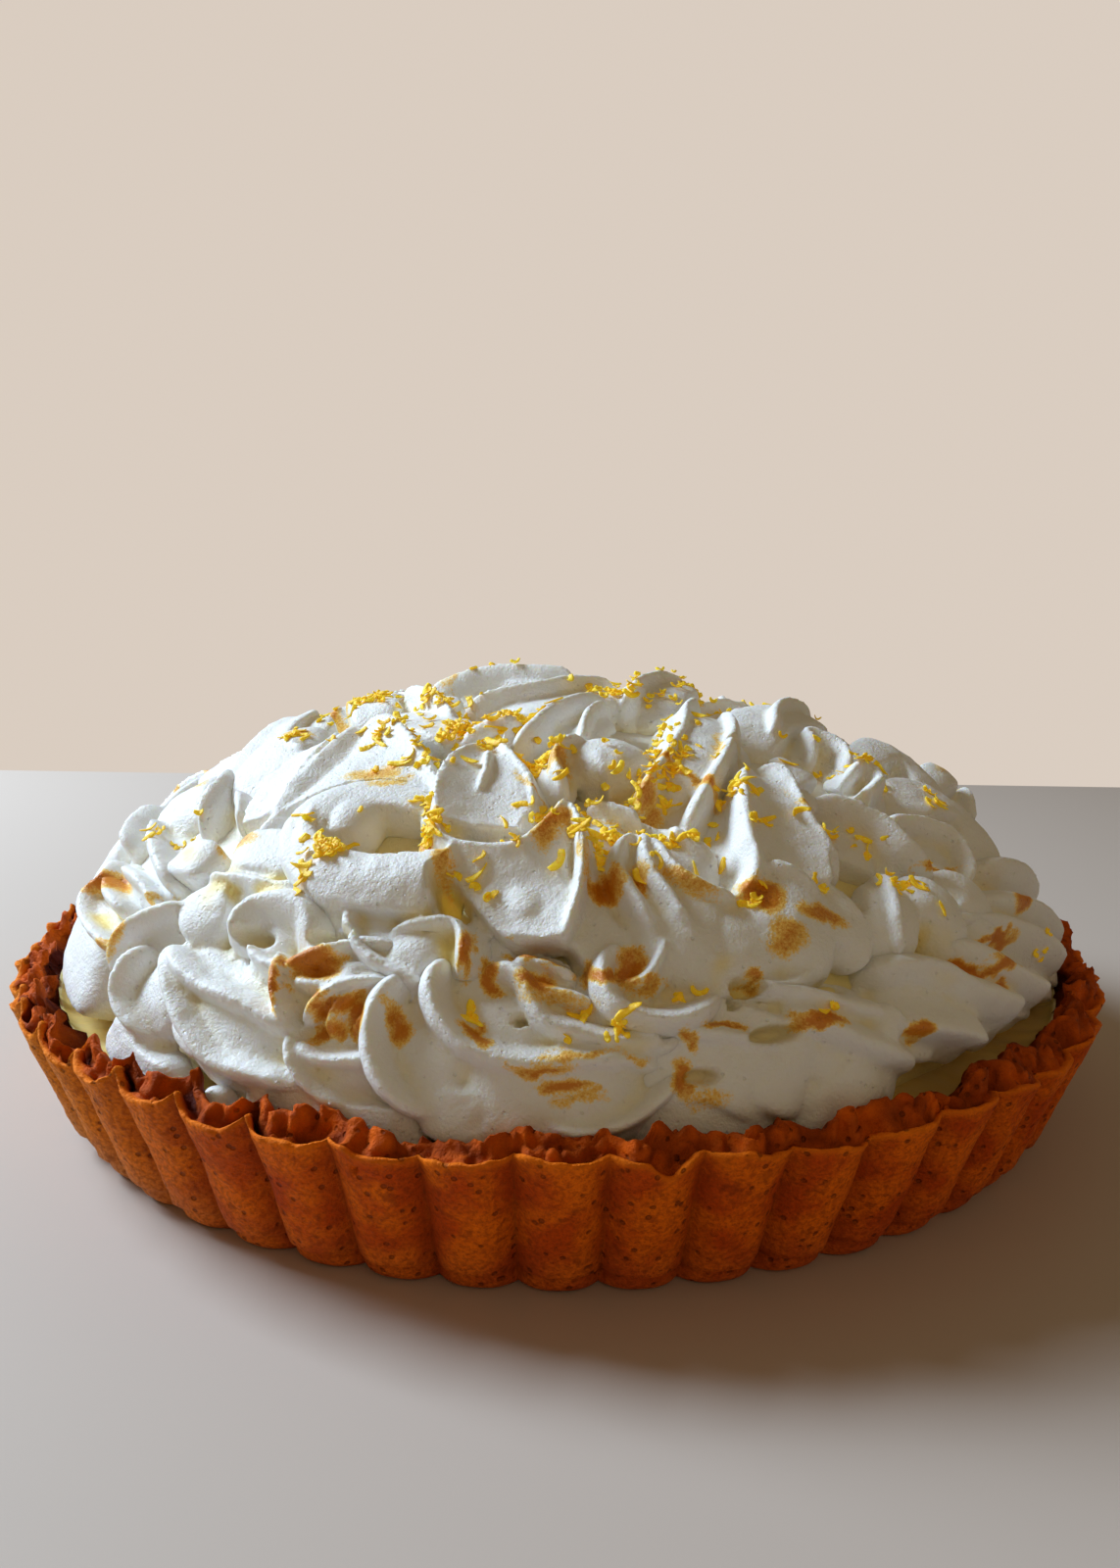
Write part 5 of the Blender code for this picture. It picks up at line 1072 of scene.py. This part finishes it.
let_light_in(shader, 0.36, (1.0, 0.75, 0.4), 1.8 * MM)
bubbles = nodes.add("ShaderNodeTexVoronoi", None, Vector=where, Scale=1 / (2.4 * MM))
burst = nodes.math("MULTIPLY", nodes.step(bubbles.outputs["Distance"], 0.16, 0.05), -0.8)
froth = nodes.math("ADD", nodes.noise(0.75 * MM, where, 4.0, Roughness=0.6), burst)
nodes.relief(shader, 0.8, 0.45 * MM, froth)

# The heart under the strokes: a plain dome that lies CORE_DEPTH mm inside theirs, and deeper at its foot
core_round, core_up = np.meshgrid(np.linspace(-180, 180, 120, endpoint=False), np.linspace(-11, 88, 40))
core_depth = CORE_DEPTH + FOOT_DEPTH * ramp(core_up, 14, 2)
core_rings, _ = mound_point(core_round, core_up, -core_depth * MM)
core_points, core_quads, core_ends = closed_skin(core_rings)
core_mesh = plain_mesh("meringue_heart", core_points, core_quads[:, ::-1], core_ends[:, ::-1])
# The heart is painted cream in front only, and not at its top, where it shows between strokes: partly the
# curd's colour seen through the gaps, partly painted shade
core_front = ramp(-core_points[:, 1], 0, 40 * MM) * ramp(core_points[:, 2], 80 * MM, 68 * MM)
core_front = core_front * ramp(core_points[:, 0], -80 * MM, -55 * MM)
add_value(core_mesh, "crevice", 0.12 + 0.78 * core_front)
heart = place("meringue_heart", core_mesh)
heart.data.materials.append(whipped)
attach(heart, "root")

meringue_pieces = []
for name, strokes in STROKES.items():
    skins = [stroke_skin(*stroke) for stroke in strokes]
    mesh = run_together("meringue_" + name, skins, BACK_GRAIN if "back" in name else MERINGUE_GRAIN)
    points, normals, edges = read_points(mesh)
    # A pulled foam keeps crisp crests: each point moves away from the mean of those round it
    points = points + CRISPNESS * (points - neighbour_mean(points, edges, 4))
    uneven = MM * rough(points, (0.30, 8, 41), (0.16, 2.6, 42), (0.07, 1.6, 43))
    points = points + normals * uneven[:, None]
    dented = 0 * points[:, 0]
    for around, up, long, wide, lean, deep_mm in HOLLOWS:
        near, proud, outward_there = patch(points, around, up, long, wide, lean)
        dent = ramp(near, 0, 0.75) * ramp(proud, -9, 0)
        points = points - outward_there * (dent * deep_mm * MM)[:, None]
        # The deeper the hollow, from 3 mm down, the more it is painted lemon: the curd's yellow and a painted
        # glow of light through the meringue
        dented = np.maximum(dented, dent * min((deep_mm - 3) / 3, 1.6))
    # How deep each point lies in a fold, in mm, and how far inside the dome, as a share of its reach
    fold = np.einsum("ij,ij->i", neighbour_mean(points, edges, 10) - points, normals) / MM
    fold = neighbour_mean(fold, edges, 2)
    r, h = np.hypot(points[:, 0], points[:, 1]), points[:, 2] - MOUND_FOOT
    both = (r / MOUND_RADIUS) ** MOUND_POWER + (np.abs(h) / MOUND_RISE) ** MOUND_POWER
    inside = 1 - both ** (1 / MOUND_POWER)
    # Painted shade: folds and the gaps inside the dome get the cream tint, and so do the listed gaps
    crevice = np.clip(0.6 * ramp(fold, 0.10, 0.70) + 0.7 * ramp(inside, 0.035, 0.12), 0, 1)
    for around, up, wide in SHADED_GAPS:
        near = np.linalg.norm(points - spot(around, up)[0], axis=1) / (wide * MM)
        crevice = np.maximum(crevice, ramp(near, 1.1, 0.6) * ramp(fold, -0.35, 0.15))
    crevice = neighbour_mean(np.maximum(crevice, dented), edges, 2)
    mesh.vertices.foreach_set("co", points.astype(np.float32).ravel())
    add_value(mesh, "crevice", crevice)
    add_value(mesh, "torched", browned(points, normals, ramp(-fold, 0.06, 0.30)))
    mesh.update()
    piece = place("meringue_" + name, mesh)
    piece.data.materials.append(whipped)
    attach(piece, "root")
    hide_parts("meringue")
    meringue_pieces.append(piece)


# ------------------------------------------------------------------------------
# Lemon zest: short curled shreds off a fine grater, dropped over the top by hand in loose clumps. Each
# shred is a thin flat ribbon that lies on the meringue and lifts a little at its ends.
ZEST_SEED = 51
SHRED_STEPS, SHRED_SIDES = 8, 6
# A clump of more shreds than this lies in a pile
PILED = 15
# Clumps: degrees round and up, spread in mm and a count of shreds, which THICKER multiplies
THICKER = 1.6
CLUMPS = (
    (-26, 53.5, 7, 34), (-16, 45.8, 4, 16), (-3, 44, 6, 46), (-14, 54.8, 7, 30), (-46, 62.5, 9, 40),
    (4, 35.8, 3, 12), (-2, 33.2, 3, 11), (-24, 24.8, 3, 20), (-17, 33.2, 4, 5), (-14, 28.5, 3, 18),
    (-6, 27.8, 3.5, 15), (3, 28, 4, 13), (16, 38.5, 5, 12), (10, 38.5, 6, 20), (20, 53, 8, 24),
    (22, 43.8, 6, 12), (24, 34.5, 3, 10), (37, 38.8, 5, 8), (58, 35.8, 7, 16), (58, 39.5, 6, 14),
    (18, 27.8, 7, 9), (19, 21.2, 2, 3), (27, 22.5, 2, 2), (36, 21.5, 3, 6), (59, 20.8, 5, 7),
    (66, 28.2, 6, 7), (-26, 22.2, 2, 4), (-6, 22.8, 2, 3), (2, 12.5, 2, 3), (5, 12, 2.5, 4),
    (38, 70, 12, 36), (-36, 45.2, 6, 11), (-24, 41.2, 5, 12), (-82, 54.5, 9, 22), (-76, 49.8, 6, 12),
    (-60, 40.8, 6, 9), (-52, 27, 5, 7), (-58, 23.5, 5, 5), (12, 29.8, 3, 8), (11, 15, 2, 2),
    (24, 12.8, 2, 2), (40, 21.2, 3, 5), (40, 28, 6, 9), (24, 29.8, 4, 4), (60, 11.5, 5, 4),
    (6, 30.5, 5, 12), (-25, 26.5, 4, 8), (-7, 13, 1.5, 3), (110, 60, 16, 46), (170, 62, 18, 50),
    (-140, 64, 16, 46), (150, 45, 16, 26), (-150, 42, 16, 26), (115, 40, 12, 16), (-110, 42, 12, 16),
    (160, 25, 22, 12), (-130, 25, 20, 10),
)
everything = []
for piece in meringue_pieces:
    piece_points, _, _ = read_points(piece.data)
    corners = np.empty(len(piece.data.polygons) * 4, np.int64)
    piece.data.polygons.foreach_get("vertices", corners)
    everything.append((piece_points, corners.reshape(-1, 4), corners[:0].reshape(0, 3)))
all_points, all_quads, _ = join(everything)
top_of_meringue = BVHTree.FromPolygons(all_points.tolist(), all_quads.tolist())


def landing(point, normal):
    """Where something dropped straight onto the dome at that point comes to rest, or None."""
    start = Vector(point + normal * 15 * MM)
    hit, face_normal, _, _ = top_of_meringue.ray_cast(start, Vector(-normal), 40 * MM)
    return (np.array(hit), np.array(face_normal)) if hit else None


def shred_rings(path, normal, wide, thick, twist):
    """A flat oval carried along the shred, turning as it goes and thinning to both ends."""
    share = np.linspace(0, 1, len(path))
    side, upward = side_and_up(path, normal, least=1e-9)
    angle = np.linspace(0, 2 * np.pi, SHRED_SIDES, endpoint=False)
    size = 0.35 + 0.65 * np.sin(np.pi * np.clip(share * 0.9 + 0.05, 0, 1)) ** 0.5
    turned = (twist * share)[:, None]
    across, above = wide * np.cos(angle) * size[:, None], thick * np.sin(angle) * size[:, None]
    turned_across = across * np.cos(turned) - above * np.sin(turned)
    turned_above = across * np.sin(turned) + above * np.cos(turned)
    sideways = side[:, None] * turned_across[..., None]
    return path[:, None] + sideways + upward[:, None] * turned_above[..., None]


rng = np.random.default_rng(ZEST_SEED)
shreds, shades = [], []
for around, up, spread, count in CLUMPS:
    middle, level, upward, normal = spot(around, up)
    for _ in range(int(THICKER * count)):
        off = rng.normal(0, spread * rng.choice([0.42, 1.1], p=[0.72, 0.28]), 2) * MM
        found = landing(middle + level * off[0] + upward * off[1], normal)
        lay, bend = rng.uniform(0, 2 * np.pi), rng.uniform(-2.6, 2.6)
        long = (2.0 + 4.6 * rng.uniform() ** 2.2) * MM
        wide, thick = rng.uniform(0.48, 1.0) * MM, rng.uniform(0.13, 0.22) * MM
        rise, twist = rng.uniform(0.1, 0.9) * MM, rng.uniform(-1.6, 1.6)
        pile = rng.uniform(0, 0.7) * MM * (count > PILED)
        shade = rng.uniform()
        if found is None:
            continue
        rest, face = found
        face = face + normal
        face /= np.linalg.norm(face)
        first = np.cross(face, [0.3, 0.2, 1.0])
        first /= np.linalg.norm(first)
        second = np.cross(face, first)
        share = np.linspace(-0.5, 0.5, SHRED_STEPS)
        heading = lay + bend * share
        flat = np.cumsum(np.stack([np.cos(heading), np.sin(heading)], -1), axis=0) * long / SHRED_STEPS
        flat -= flat.mean(0)
        lift = thick * 0.7 + pile + rise * (2 * share) ** 2
        path = rest + first * flat[:, :1] + second * flat[:, 1:] + face * lift[:, None]
        shreds.append(closed_skin(shred_rings(path, face, wide, thick, twist)))
        shades.append(np.full(SHRED_STEPS * SHRED_SIDES + 2, shade))
zest_mesh = plain_mesh("zest", *join(shreds))
add_value(zest_mesh, "shade", np.concatenate(shades))
peel, nodes, shader, where = new_material("lemon_peel", 0.55)
colour = nodes.mix(nodes.attribute("shade"), (1.0, 0.57, 0.006, 1), (1.0, 0.70, 0.03, 1))
colour = nodes.mix(nodes.step(nodes.noise(0.8 * MM, where), 0.45, 0.75), colour, (1.0, 0.50, 0.004, 1))
peel.node_tree.links.new(colour, shader.inputs["Base Color"])
# Light that comes through the thin peel from below
peel.node_tree.links.new(colour, shader.inputs["Emission Color"])
shader.inputs["Emission Strength"].default_value = 0.09
let_light_in(shader, 0.35, (1.0, 0.7, 0.1), 1.5 * MM)
nodes.relief(shader, 0.8, 0.4 * MM, nodes.noise(0.6 * MM, where))
zest = place("lemon_zest", zest_mesh)
zest.data.materials.append(peel)
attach(zest, "root")
